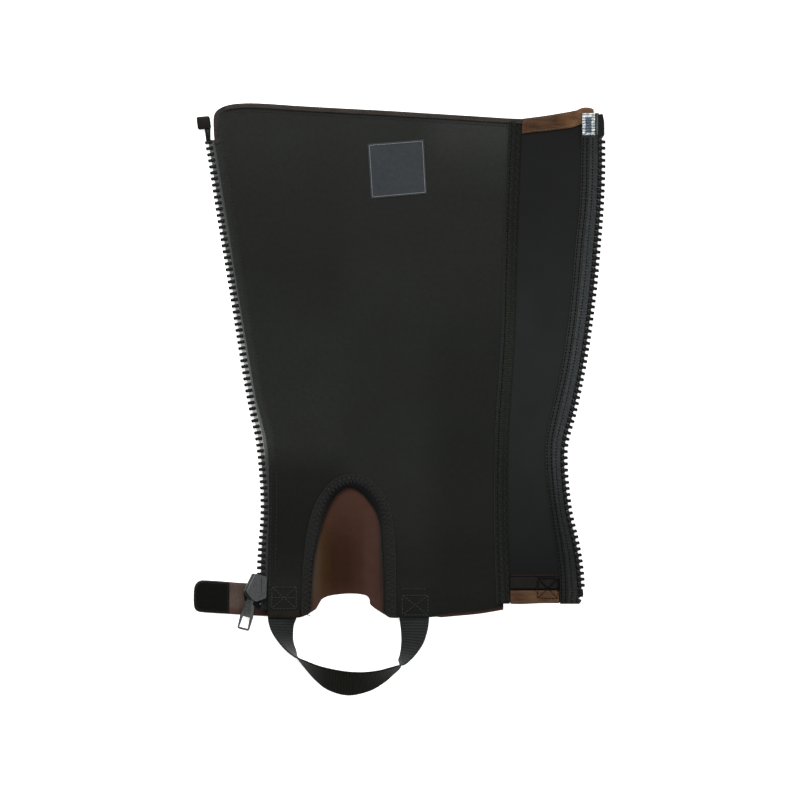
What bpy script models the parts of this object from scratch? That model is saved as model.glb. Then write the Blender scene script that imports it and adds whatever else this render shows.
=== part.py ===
# One riding half chap, unzipped and laid open on a flat surface with its lining up.
# Lengths are in millimetres and become metres when a mesh is made. +X points right, +Y towards
# the knee and +Z up. The origin lies on the surface, under the middle of the outline.

import math

import bmesh
import bpy
from mathutils import Vector
from mathutils.geometry import delaunay_2d_cdt

MM = 0.001

# Thicknesses and the gap between pieces that touch
GAP = 0.3
LEATHER_T = 1.3
LINING_T = 1.4
ELASTIC_T = 1.2
TAPE_T = 0.9
TRIM_T = 1.0
LABEL_T = 0.5
WEBBING_T = 1.5
TAB_T = 1.8
HOOK_T = 1.2
TOOTH_T = 3.9

# Widths of sewn strips and the zip chain
BINDING_W = 4.2
BINDING_X = (-147.5, 97.0)
WELT_HALF_W = 5.5
SEAM_GAP = 0.4
TOOTH_L = 5.0
TOOTH_CHAMFER = 0.9
TAPE_TUCK = 7.0
TAPE_LIFT_END = 11.0
TAPE_LIFT_FADE = (1.0, 8.0)
TAPE_OVERLAP = 9.0

# Heights of the layers above the surface, where the panel lies flat
INNER_Z = LEATHER_T + GAP
TAPE_RISE = TAPE_T + GAP
STRAP_RISE = WEBBING_T + GAP
OVERLAY_Z = ELASTIC_T + GAP

# Cross-section of the seam's welt, which steps down from the lining onto the gusset
WELT_LOW_Z = INNER_Z + LINING_T + GAP
WELT_PROFILE = (
    # across the seam, height
    (-WELT_HALF_W, WELT_LOW_Z),
    (-WELT_HALF_W, WELT_LOW_Z + 0.8),
    (-3.8, WELT_LOW_Z + 1.6),
    (-1.0, WELT_LOW_Z + 1.9),
    (1.6, WELT_LOW_Z + 1.1),
    (3.9, OVERLAY_Z + 1.5),
    (WELT_HALF_W, OVERLAY_Z + 0.9),
    (WELT_HALF_W, OVERLAY_Z),
    (SEAM_GAP, OVERLAY_Z),
    (0.0, WELT_LOW_Z),
)

# Left side of the panel, from the knee down: where the lining ends and where the zip teeth end
LEFT_SIDE = (
    # y, lining edge x, tooth tip x
    (236.0, -156.6, -163.9),
    (218.0, -155.9, -163.9),
    (200.0, -152.8, -160.8),
    (170.0, -148.1, -156.2),
    (140.0, -143.2, -151.4),
    (110.0, -139.0, -146.3),
    (80.0, -134.3, -141.4),
    (50.0, -129.2, -136.7),
    (20.0, -124.2, -131.9),
    (0.0, -120.6, -128.3),
    (-15.0, -116.6, -125.2),
    (-30.0, -112.9, -121.9),
    (-45.0, -110.8, -119.7),
    (-60.0, -110.1, -118.4),
    (-80.0, -110.0, -117.1),
    (-100.0, -110.1, -117.2),
    (-120.0, -110.6, -118.6),
    (-140.0, -110.9, -119.5),
    (-160.0, -110.9, -119.6),
    (-182.7, -110.7, -119.6),
)

# Right side, from the knee down: inner edge of the zip tape and where the zip teeth end
RIGHT_SIDE = (
    # y, tape edge x, tooth tip x
    (241.2, 152.8, 172.3),
    (218.0, 152.3, 172.3),
    (190.0, 152.0, 172.2),
    (160.0, 150.6, 170.9),
    (130.0, 147.5, 168.6),
    (100.0, 145.0, 166.0),
    (70.0, 141.9, 162.5),
    (40.0, 137.8, 158.3),
    (15.0, 133.3, 153.8),
    (0.0, 129.7, 150.7),
    (-15.0, 126.3, 147.2),
    (-30.0, 123.2, 142.9),
    (-42.0, 122.1, 140.8),
    (-55.0, 122.5, 140.8),
    (-75.0, 124.1, 142.4),
    (-95.0, 126.6, 145.0),
    (-115.0, 129.9, 149.6),
    (-135.0, 132.8, 153.2),
    (-155.0, 134.3, 155.0),
    (-171.4, 134.4, 155.1),
)

# Seam between the panel and the stretch gusset
SEAM = (
    # y, x
    (236.0, 96.6),
    (180.0, 94.2),
    (140.0, 92.8),
    (100.0, 91.6),
    (60.0, 90.6),
    (20.0, 88.4),
    (-10.0, 86.3),
    (-40.0, 85.1),
    (-80.0, 84.5),
    (-120.0, 84.9),
    (-150.0, 86.0),
    (-175.3, 86.9),
)

# Top edge of the panel, from the rounded corner by the zip box to the seam
TOP_EDGE = (
    # x, y
    (-156.6, 236.0),
    (-155.6, 240.4),
    (-152.7, 243.9),
    (-147.0, 246.8),
    (-139.0, 248.5),
    (-126.0, 249.2),
    (-110.0, 248.6),
    (-90.0, 247.2),
    (-50.0, 244.9),
    (-10.0, 242.8),
    (30.0, 240.3),
    (70.0, 237.8),
    (96.6, 236.0),
)

# Hem of the leather, from the left edge to the seam, with the scalloped notch in the middle
HEM_LEFT = ((-110.7, -182.7), (-88.2, -182.7), (-82.3, -181.2), (-74.8, -178.0))
SCALLOP = (
    # x, y
    (-74.8, -178.0),
    (-70.4, -175.4),
    (-68.2, -171.6),
    (-65.9, -167.6),
    (-60.5, -164.8),
    (-51.0, -163.2),
    (-42.0, -162.6),
    (-33.5, -163.1),
    (-27.8, -164.6),
    (-25.6, -167.6),
    (-25.4, -171.0),
    (-21.5, -174.6),
    (-14.4, -179.0),
)
HEM_STRAP = ((-14.4, -179.0), (-9.6, -181.6), (-2.5, -182.3), (26.6, -182.3))
HEM_RIGHT = (
    # x, leather y, lining y
    (26.6, -182.3, -182.3),
    (33.0, -181.8, -180.2),
    (50.0, -180.3, -178.7),
    (68.0, -178.5, -176.9),
    (86.9, -175.3, -173.7),
)

# Arch cut out of the lining over the instep, from its left foot over the top to its right foot
ARCH = (
    # x, y
    (-74.8, -178.0),
    (-74.2, -166.0),
    (-73.4, -149.0),
    (-71.4, -131.0),
    (-67.9, -114.0),
    (-63.2, -98.5),
    (-57.4, -85.8),
    (-50.5, -77.4),
    (-43.0, -73.6),
    (-34.5, -76.4),
    (-26.8, -84.4),
    (-20.4, -94.0),
    (-17.1, -106.0),
    (-15.4, -130.0),
    (-14.5, -150.0),
    (-14.4, -179.0),
)

# Outer edge of the sewn trim round the arch
TRIM_EDGE = (
    # x, y
    (-82.6, -184.0),
    (-82.2, -160.0),
    (-81.0, -136.0),
    (-77.6, -109.0),
    (-72.6, -90.5),
    (-65.0, -76.5),
    (-55.0, -66.6),
    (-42.0, -62.0),
    (-30.0, -64.4),
    (-20.0, -71.6),
    (-12.0, -81.6),
    (-7.4, -94.0),
    (-4.4, -112.0),
    (-3.2, -136.0),
    (-2.9, -184.0),
)

# Relief of the panel: a channel under the arch, and a low step over the tab's sewn end
CHANNEL_H = 5.0
CHANNEL_START_Y = -80.0
CHANNEL_FULL_Y = -150.0
CHANNEL_INSIDE_W = 11.0
CHANNEL_LEFT_W = 10.5
CHANNEL_RIGHT_W = 12.5
STEP_H = TAB_T + GAP
STEP_START_Y = -120.0
STEP_FULL_Y = -141.0
STEP_INNER_X = -85.3
STEP_END_X = -70.0

# Zip slider at the lower end of the left tape, tipped over by the pull under it
SLIDER_X = -120.1
SLIDER_Y = -156.2
SLIDER_TILT = math.radians(28.0)
SLIDER_HALF_T = 3.6
SLIDER_PLATE_T = 1.7
SLIDER_TURN = math.radians(15.8)
SLIDER_REACH = 12.0
SLIDER_OUTLINE = (
    # along the slider, half width
    (9.8, 4.6),
    (9.1, 5.6),
    (-6.6, 9.3),
    (-7.8, 9.0),
    (-12.6, 1.8),
)
SLIDER_RIM = (
    # along the slider, half width
    (9.4, 4.7),
    (8.9, 5.4),
    (-6.6, 9.1),
    (-7.6, 8.8),
)
SLIDER_POST = ((0.0, -4.6), (2.2, -8.4), (2.0, -11.4), (-2.0, -11.4), (-2.2, -8.4))
TAPE_TILT_START_Y = -95.0
TAPE_TILT_FULL_Y = -141.0
SLOT_HALF_H = 0.8
RIM_W = 1.6
BITE = 0.4
BRIDGE_U = -1.2
BRIDGE_HALF_W = 0.9
BRIDGE_LEG_V = -7.0
BRIDGE_FAR_V = 4.2
BRIDGE_LEG_HALF = 0.75
BRIDGE_OPEN_H = 3.4
BRIDGE_BAR_T = 1.2

# Pull tab, hung on the bridge's lower leg
PULL_LEAN = math.radians(15.5)
PULL_ROLL = math.radians(20.0)
PULL_L = 30.7
PULL_T = 2.0
PULL_EYE_R = 3.7
PULL_EYE_HOLE_R = 1.75
PULL_NECK_W = 7.2
PULL_NECK_S = 7.0
PULL_WIDE_W = 11.2
PULL_WIDE_S = 18.5
PULL_TIP_W = 10.4
PULL_CORNER_R = 1.6
PULL_WINDOW_S = (19.6, 28.9)
PULL_WINDOW_W = (6.6, 8.0)

# Elastic webbing of the stirrup strap: its two edges, station by station
STRAP_W = 24.5
STRAP_TOP_Y = -156.2
STRAP_LEFT_X = -110.4
STRAP_RIGHT_X = 0.0
PANEL_LEFT_X = -115.0
STRAP_LEFT_Z = STEP_H + INNER_Z + WEBBING_T / 2
STRAP_RIGHT_Z = INNER_Z + WEBBING_T / 2
STRAP_STATIONS = (
    # outer edge x, y, z and inner edge x, y, z
    (-110.4, -156.2, STRAP_LEFT_Z, -86.0, -156.2, STRAP_LEFT_Z),
    (-110.4, -181.0, STRAP_LEFT_Z, -86.4, -181.0, STRAP_LEFT_Z),
    (-110.3, -183.6, STRAP_LEFT_Z, -86.8, -183.6, STRAP_LEFT_Z),
    (-108.9, -189.4, 9.6, -90.0, -190.4, 2.0),
    (-106.1, -195.7, 15.2, -91.0, -197.8, 0.8),
    (-102.6, -201.0, 19.4, -90.7, -202.7, 0.8),
    (-97.7, -206.9, 22.0, -89.9, -207.1, 0.8),
    (-92.1, -212.2, 23.3, -88.5, -212.2, 0.8),
    (-86.2, -216.4, 23.8, -86.2, -216.6, 0.8),
    (-79.5, -219.9, 23.7, -81.5, -222.6, 0.8),
    (-67.0, -224.5, 21.5, -69.7, -234.8, 0.8),
    (-56.3, -227.0, 19.0, -58.8, -242.8, 0.8),
    (-42.8, -229.0, 17.4, -42.4, -247.2, 0.8),
    (-29.4, -229.4, 18.8, -27.3, -243.9, 0.8),
    (-16.8, -227.6, 21.2, -15.1, -237.4, 0.8),
    (-8.4, -225.4, 22.7, -8.0, -231.2, 0.8),
    (-0.8, -222.8, 23.4, -1.0, -224.3, 0.8),
    (4.2, -220.3, 23.0, -0.3, -219.8, 0.8),
    (8.4, -217.2, 21.8, 0.8, -215.9, 0.8),
    (14.3, -211.5, 18.8, 1.8, -210.0, 0.8),
    (18.9, -204.5, 14.8, 2.2, -202.4, 0.8),
    (22.5, -195.3, 9.2, 1.8, -195.3, 0.9),
    (24.0, -188.4, 4.6, 1.0, -188.4, 1.4),
    (24.5, -183.4, STRAP_RIGHT_Z, 0.0, -183.4, STRAP_RIGHT_Z),
    (24.5, -181.0, STRAP_RIGHT_Z, 0.0, -181.0, STRAP_RIGHT_Z),
    (24.5, -156.2, STRAP_RIGHT_Z, 0.0, -156.2, STRAP_RIGHT_Z),
)
PAD_MARGIN = 0.7
PAD_SLOPE = 5.0

# Flat pieces of the gusset side, and the hook-and-loop tab
GUSSET_TOP = ((152.0, 242.4), (141.0, 240.6), (121.0, 237.3))
BAND_TOP = (
    # x, y
    (102.4, 236.2),
    (121.0, 238.6),
    (141.0, 241.9),
    (149.0, 243.6),
    (152.5, 245.3),
    (158.5, 245.6),
    (162.6, 244.4),
    (163.2, 232.4),
    (153.0, 231.6),
    (143.0, 228.4),
    (102.2, 223.4),
)
BAND_BOTTOM = ((92.6, -171.2), (102.0, -171.4), (118.0, -170.7), (133.6, -170.6), (133.6, -159.7), (92.6, -159.7))
TAPE_BOTTOM = ((92.6, -158.4), (133.4, -158.4), (133.2, -148.8), (92.6, -148.8))
TAB_OUTLINE = (
    # x, y
    (-98.5, -155.0),
    (-130.0, -153.7),
    (-166.0, -151.3),
    (-170.4, -153.0),
    (-172.9, -157.6),
    (-173.2, -172.6),
    (-171.4, -176.6),
    (-167.4, -178.2),
    (-136.0, -180.2),
    (-116.0, -181.4),
    (-98.5, -181.4),
)
HOOK_OUTLINE = (
    # x, y
    (-142.0, -153.6),
    (-165.8, -152.1),
    (-169.8, -153.6),
    (-172.2, -157.8),
    (-172.4, -172.4),
    (-170.8, -176.0),
    (-167.2, -177.4),
    (-142.0, -179.2),
)
LABEL_OUTLINE = ((-27.3, 215.0), (-24.4, 168.8), (22.7, 173.0), (20.2, 218.8))

# Zip ends: retainer box and stem on the left, pin and film at the upper right, stop below it
BOX_OUTLINE = ((-171.1, 237.6), (-159.9, 238.5), (-158.4, 227.7), (-169.7, 226.8))
BOX_Z = (0.2, 5.8)
STEM_OUTLINE = ((-164.2, 228.6), (-159.2, 228.6), (-159.1, 217.7), (-162.7, 217.7))
STEM_Z = (0.4, 4.2)
TEETH_TOP_Y = (217.3, 219.4)
TEETH_BOTTOM_Y = (SLIDER_Y + SLIDER_REACH + GAP, -158.2)
PIN_OUTLINE = (
    # x, y
    (166.2, 239.8),
    (170.2, 240.2),
    (171.4, 234.0),
    (171.6, 222.6),
    (169.8, 219.8),
    (166.2, 220.4),
)
PIN_HALF_T = 2.1
FILM_OUTLINE = ((153.0, 240.8), (165.6, 240.8), (165.6, 222.4), (153.0, 222.4))
FILM_T = 0.6
STOP_OUTLINE = ((150.1, -158.6), (153.6, -158.6), (154.1, -163.0), (153.2, -168.4), (150.1, -168.4))
TAPE_TOP_Y = (218.5, 241.2)
TAPE_BOTTOM_Y = (-176.4, -171.4)
TAPE_RAISED_Y = (221.0, 209.0)
TAPE_TUCK_END_Y = -152.4
TAPE_NECK_Y = -168.0
TAPE_NECK_IN = 2.6
GUSSET_Y = (234.6, -170.2)
WELT_Y = (231.0, -171.2)

# Point spacing of the curves and of the panel's net, and boxes as left, right, bottom and top
EDGE_STEP = 13.0
CORNER_STEP = 4.0
ARCH_STEP = 7.0
CUT_MARGIN = 0.5
NET_STEP = 18.0
FINE_STEP = 8.5
NET_CLEARANCE = 0.55
NET_BOX = (-165.0, 120.0, -185.0, 250.0)
FINE_BOX = (-113.0, 33.0, -184.0, -58.0)
CHANNEL_LINES = (5.5, 11.0)
CHANNEL_LINE_TOP = -95.0

COLOURS = {
    # node: red, green, blue, roughness, metallic
    "shell_main": (0.115, 0.055, 0.036, 0.62, 0.0),
    "lining_main": (0.021, 0.022, 0.021, 0.85, 0.0),
    "arch_trim": (0.017, 0.018, 0.017, 0.80, 0.0),
    "top_binding": (0.035, 0.030, 0.027, 0.60, 0.0),
    "label_patch": (0.055, 0.068, 0.078, 0.55, 0.0),
    "seam_welt": (0.016, 0.017, 0.014, 0.80, 0.0),
    "elastic_gusset": (0.016, 0.017, 0.019, 0.80, 0.0),
    "gusset_top_band": (0.190, 0.085, 0.042, 0.50, 0.0),
    "gusset_bottom_band": (0.130, 0.065, 0.040, 0.55, 0.0),
    "gusset_bottom_tape": (0.014, 0.018, 0.019, 0.75, 0.0),
    "zip_tape_left": (0.050, 0.056, 0.060, 0.80, 0.0),
    "zip_tape_right": (0.045, 0.052, 0.058, 0.80, 0.0),
    "zip_teeth_left": (0.010, 0.011, 0.011, 0.35, 0.0),
    "zip_teeth_right": (0.010, 0.011, 0.011, 0.35, 0.0),
    "zip_box_left": (0.010, 0.011, 0.010, 0.35, 0.0),
    "zip_pin_right": (0.008, 0.010, 0.009, 0.35, 0.0),
    "zip_film_right": (0.420, 0.460, 0.480, 0.15, 0.0),
    "zip_stop_right": (0.008, 0.009, 0.008, 0.35, 0.0),
    "zip_slider": (0.130, 0.135, 0.135, 0.38, 0.8),
    "zip_pull": (0.150, 0.155, 0.150, 0.38, 0.8),
    "stirrup_strap": (0.020, 0.024, 0.026, 0.75, 0.0),
    "tab_leather": (0.120, 0.055, 0.036, 0.55, 0.0),
    "tab_hook_patch": (0.012, 0.012, 0.012, 0.90, 0.0),
}


# Curves and outlines


def rectangle(left, right, bottom, top):
    return [(left, bottom), (right, bottom), (right, top), (left, top)]


def smooth(points, step):
    """Points about step apart on a smooth curve through the given plane points."""
    knots = [0.0]
    for a, b in zip(points, points[1:]):
        knots.append(knots[-1] + math.dist(a, b))
    slopes = []
    for i in range(len(points)):
        lo = max(i - 1, 0)
        hi = min(i + 1, len(points) - 1)
        span = knots[hi] - knots[lo]
        slopes.append([(q - p) / span for p, q in zip(points[lo], points[hi])])
    result = [tuple(points[0])]
    for i in range(len(points) - 1):
        length = knots[i + 1] - knots[i]
        count = max(1, round(length / step))
        for k in range(1, count + 1):
            t = k / count
            h00 = (1 + 2 * t) * (1 - t) ** 2
            h10 = t * (1 - t) ** 2
            h01 = t * t * (3 - 2 * t)
            h11 = t * t * (t - 1)
            result.append(tuple(
                h00 * a + h10 * length * ma + h01 * b + h11 * length * mb
                for a, ma, b, mb in zip(points[i], slopes[i], points[i + 1], slopes[i + 1])
            ))
    return result


def level(curve, y):
    """The x at which a curve that runs downwards passes the height y."""
    for (x0, y0), (x1, y1) in zip(curve, curve[1:]):
        if y1 <= y <= y0:
            return x0 + (x1 - x0) * (y0 - y) / (y0 - y1) if y0 > y1 else x0
    return curve[0][0] if y > curve[0][1] else curve[-1][0]


def cut(curve, top, bottom):
    """The stretch of a downward curve between two heights."""
    middle = [p for p in curve if bottom + CUT_MARGIN < p[1] < top - CUT_MARGIN]
    return [(level(curve, top), top)] + middle + [(level(curve, bottom), bottom)]


def shift(curve, dx, dy=0.0):
    return [(x + dx, y + dy) for x, y in curve]


def ease(value, start, end):
    """0 at start and 1 at end, with a soft rise between."""
    t = min(max((value - start) / (end - start), 0.0), 1.0)
    return t * t * (3 - 2 * t)


def ramp(value, start, end):
    return min(max((value - start) / (end - start), 0.0), 1.0)


def inside(loop, x, y):
    hit = False
    for (x0, y0), (x1, y1) in zip(loop, loop[1:] + loop[:1]):
        if (y0 > y) != (y1 > y) and x < x0 + (x1 - x0) * (y - y0) / (y1 - y0):
            hit = not hit
    return hit


LINING_LEFT = smooth([(x, y) for y, x, tip in LEFT_SIDE], EDGE_STEP)
TIPS_LEFT = smooth([(tip, y) for y, x, tip in LEFT_SIDE], EDGE_STEP)
TAPE_RIGHT = smooth([(x, y) for y, x, tip in RIGHT_SIDE], EDGE_STEP)
TIPS_RIGHT = smooth([(tip, y) for y, x, tip in RIGHT_SIDE], EDGE_STEP)
SEAM_CURVE = smooth([(x, y) for y, x in SEAM], EDGE_STEP)
TOP_CURVE = smooth(TOP_EDGE, EDGE_STEP)
ARCH_CURVE = smooth(ARCH, ARCH_STEP)
TRIM_CURVE = smooth(TRIM_EDGE, ARCH_STEP)
SCALLOP_CURVE = smooth(SCALLOP, CORNER_STEP)
APEX = max(range(len(ARCH_CURVE)), key=lambda i: ARCH_CURVE[i][1])
ARCH_LEFT = ARCH_CURVE[APEX::-1]
ARCH_RIGHT = ARCH_CURVE[APEX:]
TAPE_OUTER_LEFT = shift(TIPS_LEFT, TOOTH_L + GAP)


# Heights of the panel's layers


def base(x, y):
    """Height of the leather's underside above the surface."""
    height = CHANNEL_H * ease(y, CHANNEL_START_Y, CHANNEL_FULL_Y)
    left = x - level(ARCH_LEFT, y)
    right = level(ARCH_RIGHT, y) - x
    ridge = 1 - ease(left, 0.0, CHANNEL_INSIDE_W if left > 0 else -CHANNEL_LEFT_W)
    ridge += 1 - ease(right, 0.0, CHANNEL_INSIDE_W if right > 0 else -CHANNEL_RIGHT_W)
    step = STEP_H * ease(y, STEP_START_Y, STEP_FULL_Y) * ease(x, STEP_END_X, STEP_INNER_X)
    return height * ridge + step


def pad(x, y, left, right):
    """1 over a sewn-in strap end and 0 a short slope away from it."""
    rise_x = min(ramp(x, left - PAD_SLOPE, left), ramp(x, right + PAD_SLOPE, right))
    return rise_x * ramp(y, STRAP_TOP_Y + PAD_MARGIN + PAD_SLOPE, STRAP_TOP_Y + PAD_MARGIN)


def lining_low(x, y):
    edge = level(LINING_LEFT, y)
    fade_end, fade_start = (TAPE_TOP_Y[0] + step for step in TAPE_LIFT_FADE)
    over_tape = ramp(x, edge + TAPE_LIFT_END, edge + TAPE_TUCK) * ramp(y, fade_start, fade_end)
    left = pad(x, y, PANEL_LEFT_X, STRAP_LEFT_X + STRAP_W + PAD_MARGIN)
    right = pad(x, y, STRAP_RIGHT_X - PAD_MARGIN, STRAP_RIGHT_X + STRAP_W + PAD_MARGIN)
    return base(x, y) + INNER_Z + max(TAPE_RISE * over_tape, STRAP_RISE * max(left, right))


def lining_high(x, y):
    return lining_low(x, y) + LINING_T


def tape_tilt(x, y):
    """Rise of the left tape and its teeth towards the tipped slider."""
    reach = max(level(LINING_LEFT, y) - x, 0.0)
    return reach * math.tan(SLIDER_TILT) * ease(y, TAPE_TILT_START_Y, TAPE_TILT_FULL_Y)


def tape_left_low(x, y):
    return base(x, y) + INNER_Z + tape_tilt(x, y)


# Meshes and objects


def material(name):
    red, green, blue, roughness, metallic = COLOURS[name]
    made = bpy.data.materials.new(name)
    made.use_nodes = True
    shader = made.node_tree.nodes["Principled BSDF"]
    shader.inputs["Base Color"].default_value = (red, green, blue, 1.0)
    shader.inputs["Roughness"].default_value = roughness
    shader.inputs["Metallic"].default_value = metallic
    return made


def add_object(name, points, faces):
    mesh = bpy.data.meshes.new(name)
    mesh.from_pydata([Vector(p) * MM for p in points], [], faces)
    shell = bmesh.new()
    shell.from_mesh(mesh)
    bmesh.ops.recalc_face_normals(shell, faces=shell.faces)
    shell.to_mesh(mesh)
    shell.free()
    made = bpy.data.objects.new(name, mesh)
    if name in COLOURS:
        mesh.materials.append(material(name))
    bpy.context.scene.collection.objects.link(made)
    return made


def triangulate(loops, lines, dots):
    """A plane net whose edges follow every loop and line."""
    points = []
    edges = []
    for run, closed in [(loop, True) for loop in loops] + [(line, False) for line in lines]:
        start = len(points)
        points.extend(run)
        edges.extend((start + i, start + i + 1) for i in range(len(run) - 1))
        if closed:
            edges.append((len(points) - 1, start))
    points.extend(dots)
    result = delaunay_2d_cdt([Vector(p) for p in points], edges, [], 0, 0.01)
    return [tuple(v) for v in result[0]], [tuple(f) for f in result[2]]


def solid_from_net(name, net, keep, low, high):
    """A closed wall on the kept triangles of a net, between two height functions."""
    points, faces = net
    chosen = []
    for face in faces:
        x = sum(points[i][0] for i in face) / 3
        y = sum(points[i][1] for i in face) / 3
        if keep(x, y):
            (ax, ay), (bx, by), (cx, cy) = (points[i] for i in face)
            turn = (bx - ax) * (cy - ay) - (by - ay) * (cx - ax)
            chosen.append(face if turn > 0 else face[::-1])
    used = sorted({i for face in chosen for i in face})
    place = {old: new for new, old in enumerate(used)}
    count = len(used)
    verts = [(*points[i], high(*points[i])) for i in used]
    verts += [(*points[i], low(*points[i])) for i in used]
    skin = [tuple(place[i] for i in face) for face in chosen]
    skin += [tuple(place[i] + count for i in reversed(face)) for face in chosen]
    directed = {(a, b) for face in chosen for a, b in zip(face, face[1:] + face[:1])}
    for a, b in sorted(directed):
        if (b, a) not in directed:
            pa, pb = place[a], place[b]
            skin.append((pb, pa, pa + count, pb + count))
    return add_object(name, verts, skin)


def plate(name, outline, z_low, z_high, holes=()):
    """A flat plate with its outline and holes cut straight through."""
    outline = list(outline)
    net = triangulate([outline, *holes], [], [])

    def keep(x, y):
        return inside(outline, x, y) and not any(inside(hole, x, y) for hole in holes)

    return solid_from_net(name, net, keep, lambda x, y: z_low, lambda x, y: z_high)


def loft(name, sections):
    """A closed skin over rings of equal point count, capped at both ends."""
    size = len(sections[0])
    points = [p for section in sections for p in section]
    faces = []
    for s in range(len(sections) - 1):
        for i in range(size):
            j = (i + 1) % size
            faces.append((s * size + i, s * size + j, (s + 1) * size + j, (s + 1) * size + i))
    faces.append(tuple(range(size)))
    faces.append(tuple(range(len(points) - size, len(points))))
    return add_object(name, points, faces)


def union(body, extras):
    """Adds helper solids to a body and keeps them out of the finished model."""
    for extra in extras:
        modifier = body.modifiers.new("add_" + extra.name, "BOOLEAN")
        modifier.operation = "UNION"
        modifier.solver = "EXACT"
        modifier.object = extra
        extra.hide_render = True
        extra.display_type = "WIRE"
        extra.parent = body
    return body


# The panel: one net of points, from which every layer is lifted


def panel_net(loops, lines):
    """The panel's net, with staggered rows of points that are closer together round the arch."""
    left, right, bottom, top = NET_BOX
    dots = []
    marks = [p for run in loops + lines for p in run]
    for step, fine in ((NET_STEP, False), (FINE_STEP, True)):
        row_step = step * math.sqrt(0.75)
        for row in range(int((top - bottom) / row_step) + 1):
            for column in range(int((right - left) / step) + 1):
                x = left + (column + row % 2 / 2) * step
                y = top - row * row_step
                in_box = FINE_BOX[0] < x < FINE_BOX[1] and FINE_BOX[2] < y < FINE_BOX[3]
                if in_box == fine and min(math.dist((x, y), m) for m in marks) > NET_CLEARANCE * step:
                    dots.append((x, y))
    return triangulate(loops, lines, dots)


def strap_pads():
    """Lines round the two strap ends, where the lining's height breaks."""
    below = HEM_LEFT[0][1] - 1.0
    pad_top = STRAP_TOP_Y + PAD_MARGIN
    left_pad = STRAP_LEFT_X + STRAP_W + PAD_MARGIN
    right_pad = STRAP_RIGHT_X + STRAP_W + PAD_MARGIN
    slope_top = pad_top + PAD_SLOPE
    return [
        [(PANEL_LEFT_X, pad_top), (left_pad, pad_top), (left_pad, below)],
        [(STRAP_RIGHT_X - PAD_MARGIN, below), (STRAP_RIGHT_X - PAD_MARGIN, pad_top), (right_pad, pad_top),
         (right_pad, below)],
        [(PANEL_LEFT_X, slope_top), (left_pad, slope_top)],
        [(right_pad + PAD_SLOPE, below), (right_pad + PAD_SLOPE, slope_top), (STRAP_RIGHT_X, slope_top)],
    ]


def build_panel():
    hem_leather = smooth([(x, y) for x, y, lining in HEM_RIGHT], EDGE_STEP)
    hem_lining = smooth([(x, lining) for x, y, lining in HEM_RIGHT], EDGE_STEP)
    seam = cut(SEAM_CURVE, SEAM[0][0], SEAM[-1][0])
    seam_lining = cut(SEAM_CURVE, SEAM[0][0], HEM_RIGHT[-1][2])
    leather = list(HEM_LEFT) + SCALLOP_CURVE[1:] + list(HEM_STRAP[1:]) + hem_leather[1:-1]
    leather += seam[::-1] + TOP_CURVE[-2:0:-1] + LINING_LEFT[:-1]
    lining = list(HEM_LEFT) + ARCH_CURVE[1:] + list(HEM_STRAP[1:]) + hem_lining[1:-1]
    lining += seam_lining[::-1] + TOP_CURVE[-2:0:-1] + LINING_LEFT[:-1]

    binding = [p for p in TOP_CURVE if BINDING_X[0] < p[0] < BINDING_X[1]]
    binding += shift(binding, 0.0, -BINDING_W)[::-1]
    tape = shift(cut(LINING_LEFT, TAPE_TOP_Y[0], TAPE_TUCK_END_Y), TAPE_TUCK)
    tape += shift(cut(LINING_LEFT, TAPE_TUCK_END_Y, TAPE_BOTTOM_Y[0]), -SEAM_GAP)
    tape += cut(TAPE_OUTER_LEFT, TAPE_TOP_Y[0], TAPE_BOTTOM_Y[0])[::-1]
    label = list(LABEL_OUTLINE)

    folds = strap_pads() + [TRIM_CURVE]
    folds.append(shift(cut(LINING_LEFT, TAPE_TOP_Y[0], TAPE_TUCK_END_Y), TAPE_LIFT_END))
    for reach in CHANNEL_LINES:
        folds.append([(x + reach, y) for x, y in ARCH_LEFT if y < CHANNEL_LINE_TOP])
        folds.append([(x - reach, y) for x, y in ARCH_RIGHT if y < CHANNEL_LINE_TOP])
    net = panel_net([leather, lining, binding, tape, label], folds)

    def on_top(name, keep, thickness):
        solid_from_net(name, net, keep, lambda x, y: lining_high(x, y) + GAP,
                       lambda x, y: lining_high(x, y) + GAP + thickness)

    solid_from_net("shell_main", net, lambda x, y: inside(leather, x, y),
                   base, lambda x, y: base(x, y) + LEATHER_T)
    solid_from_net("lining_main", net, lambda x, y: inside(lining, x, y), lining_low, lining_high)
    solid_from_net("zip_tape_left", net, lambda x, y: inside(tape, x, y),
                   tape_left_low, lambda x, y: tape_left_low(x, y) + TAPE_T)
    on_top("arch_trim", lambda x, y: inside(TRIM_CURVE, x, y) and inside(lining, x, y), TRIM_T)
    on_top("top_binding", lambda x, y: inside(binding, x, y), TRIM_T)
    on_top("label_patch", lambda x, y: inside(label, x, y), LABEL_T)


# The gusset side and the zip tapes


def raised(y):
    """Extra height of the right tape where it runs over the top band."""
    return (LEATHER_T + GAP) * ramp(y, TAPE_RAISED_Y[1], TAPE_RAISED_Y[0])


def build_gusset():
    left = shift(cut(SEAM_CURVE, *GUSSET_Y), SEAM_GAP)
    right = shift(cut(TAPE_RIGHT, *GUSSET_Y), TAPE_OVERLAP)
    plate("elastic_gusset", left + right[::-1] + list(GUSSET_TOP), 0.0, ELASTIC_T)
    plate("gusset_top_band", BAND_TOP, OVERLAY_Z, OVERLAY_Z + LEATHER_T)
    plate("gusset_bottom_band", BAND_BOTTOM, OVERLAY_Z, OVERLAY_Z + LEATHER_T)
    plate("gusset_bottom_tape", TAPE_BOTTOM, OVERLAY_Z, OVERLAY_Z + TAPE_T)


def build_welt():
    sections = []
    for x, y in cut(SEAM_CURVE, *WELT_Y):
        sections.append([(x + across, y, z) for across, z in WELT_PROFILE])
    loft("seam_welt", sections)


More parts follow.
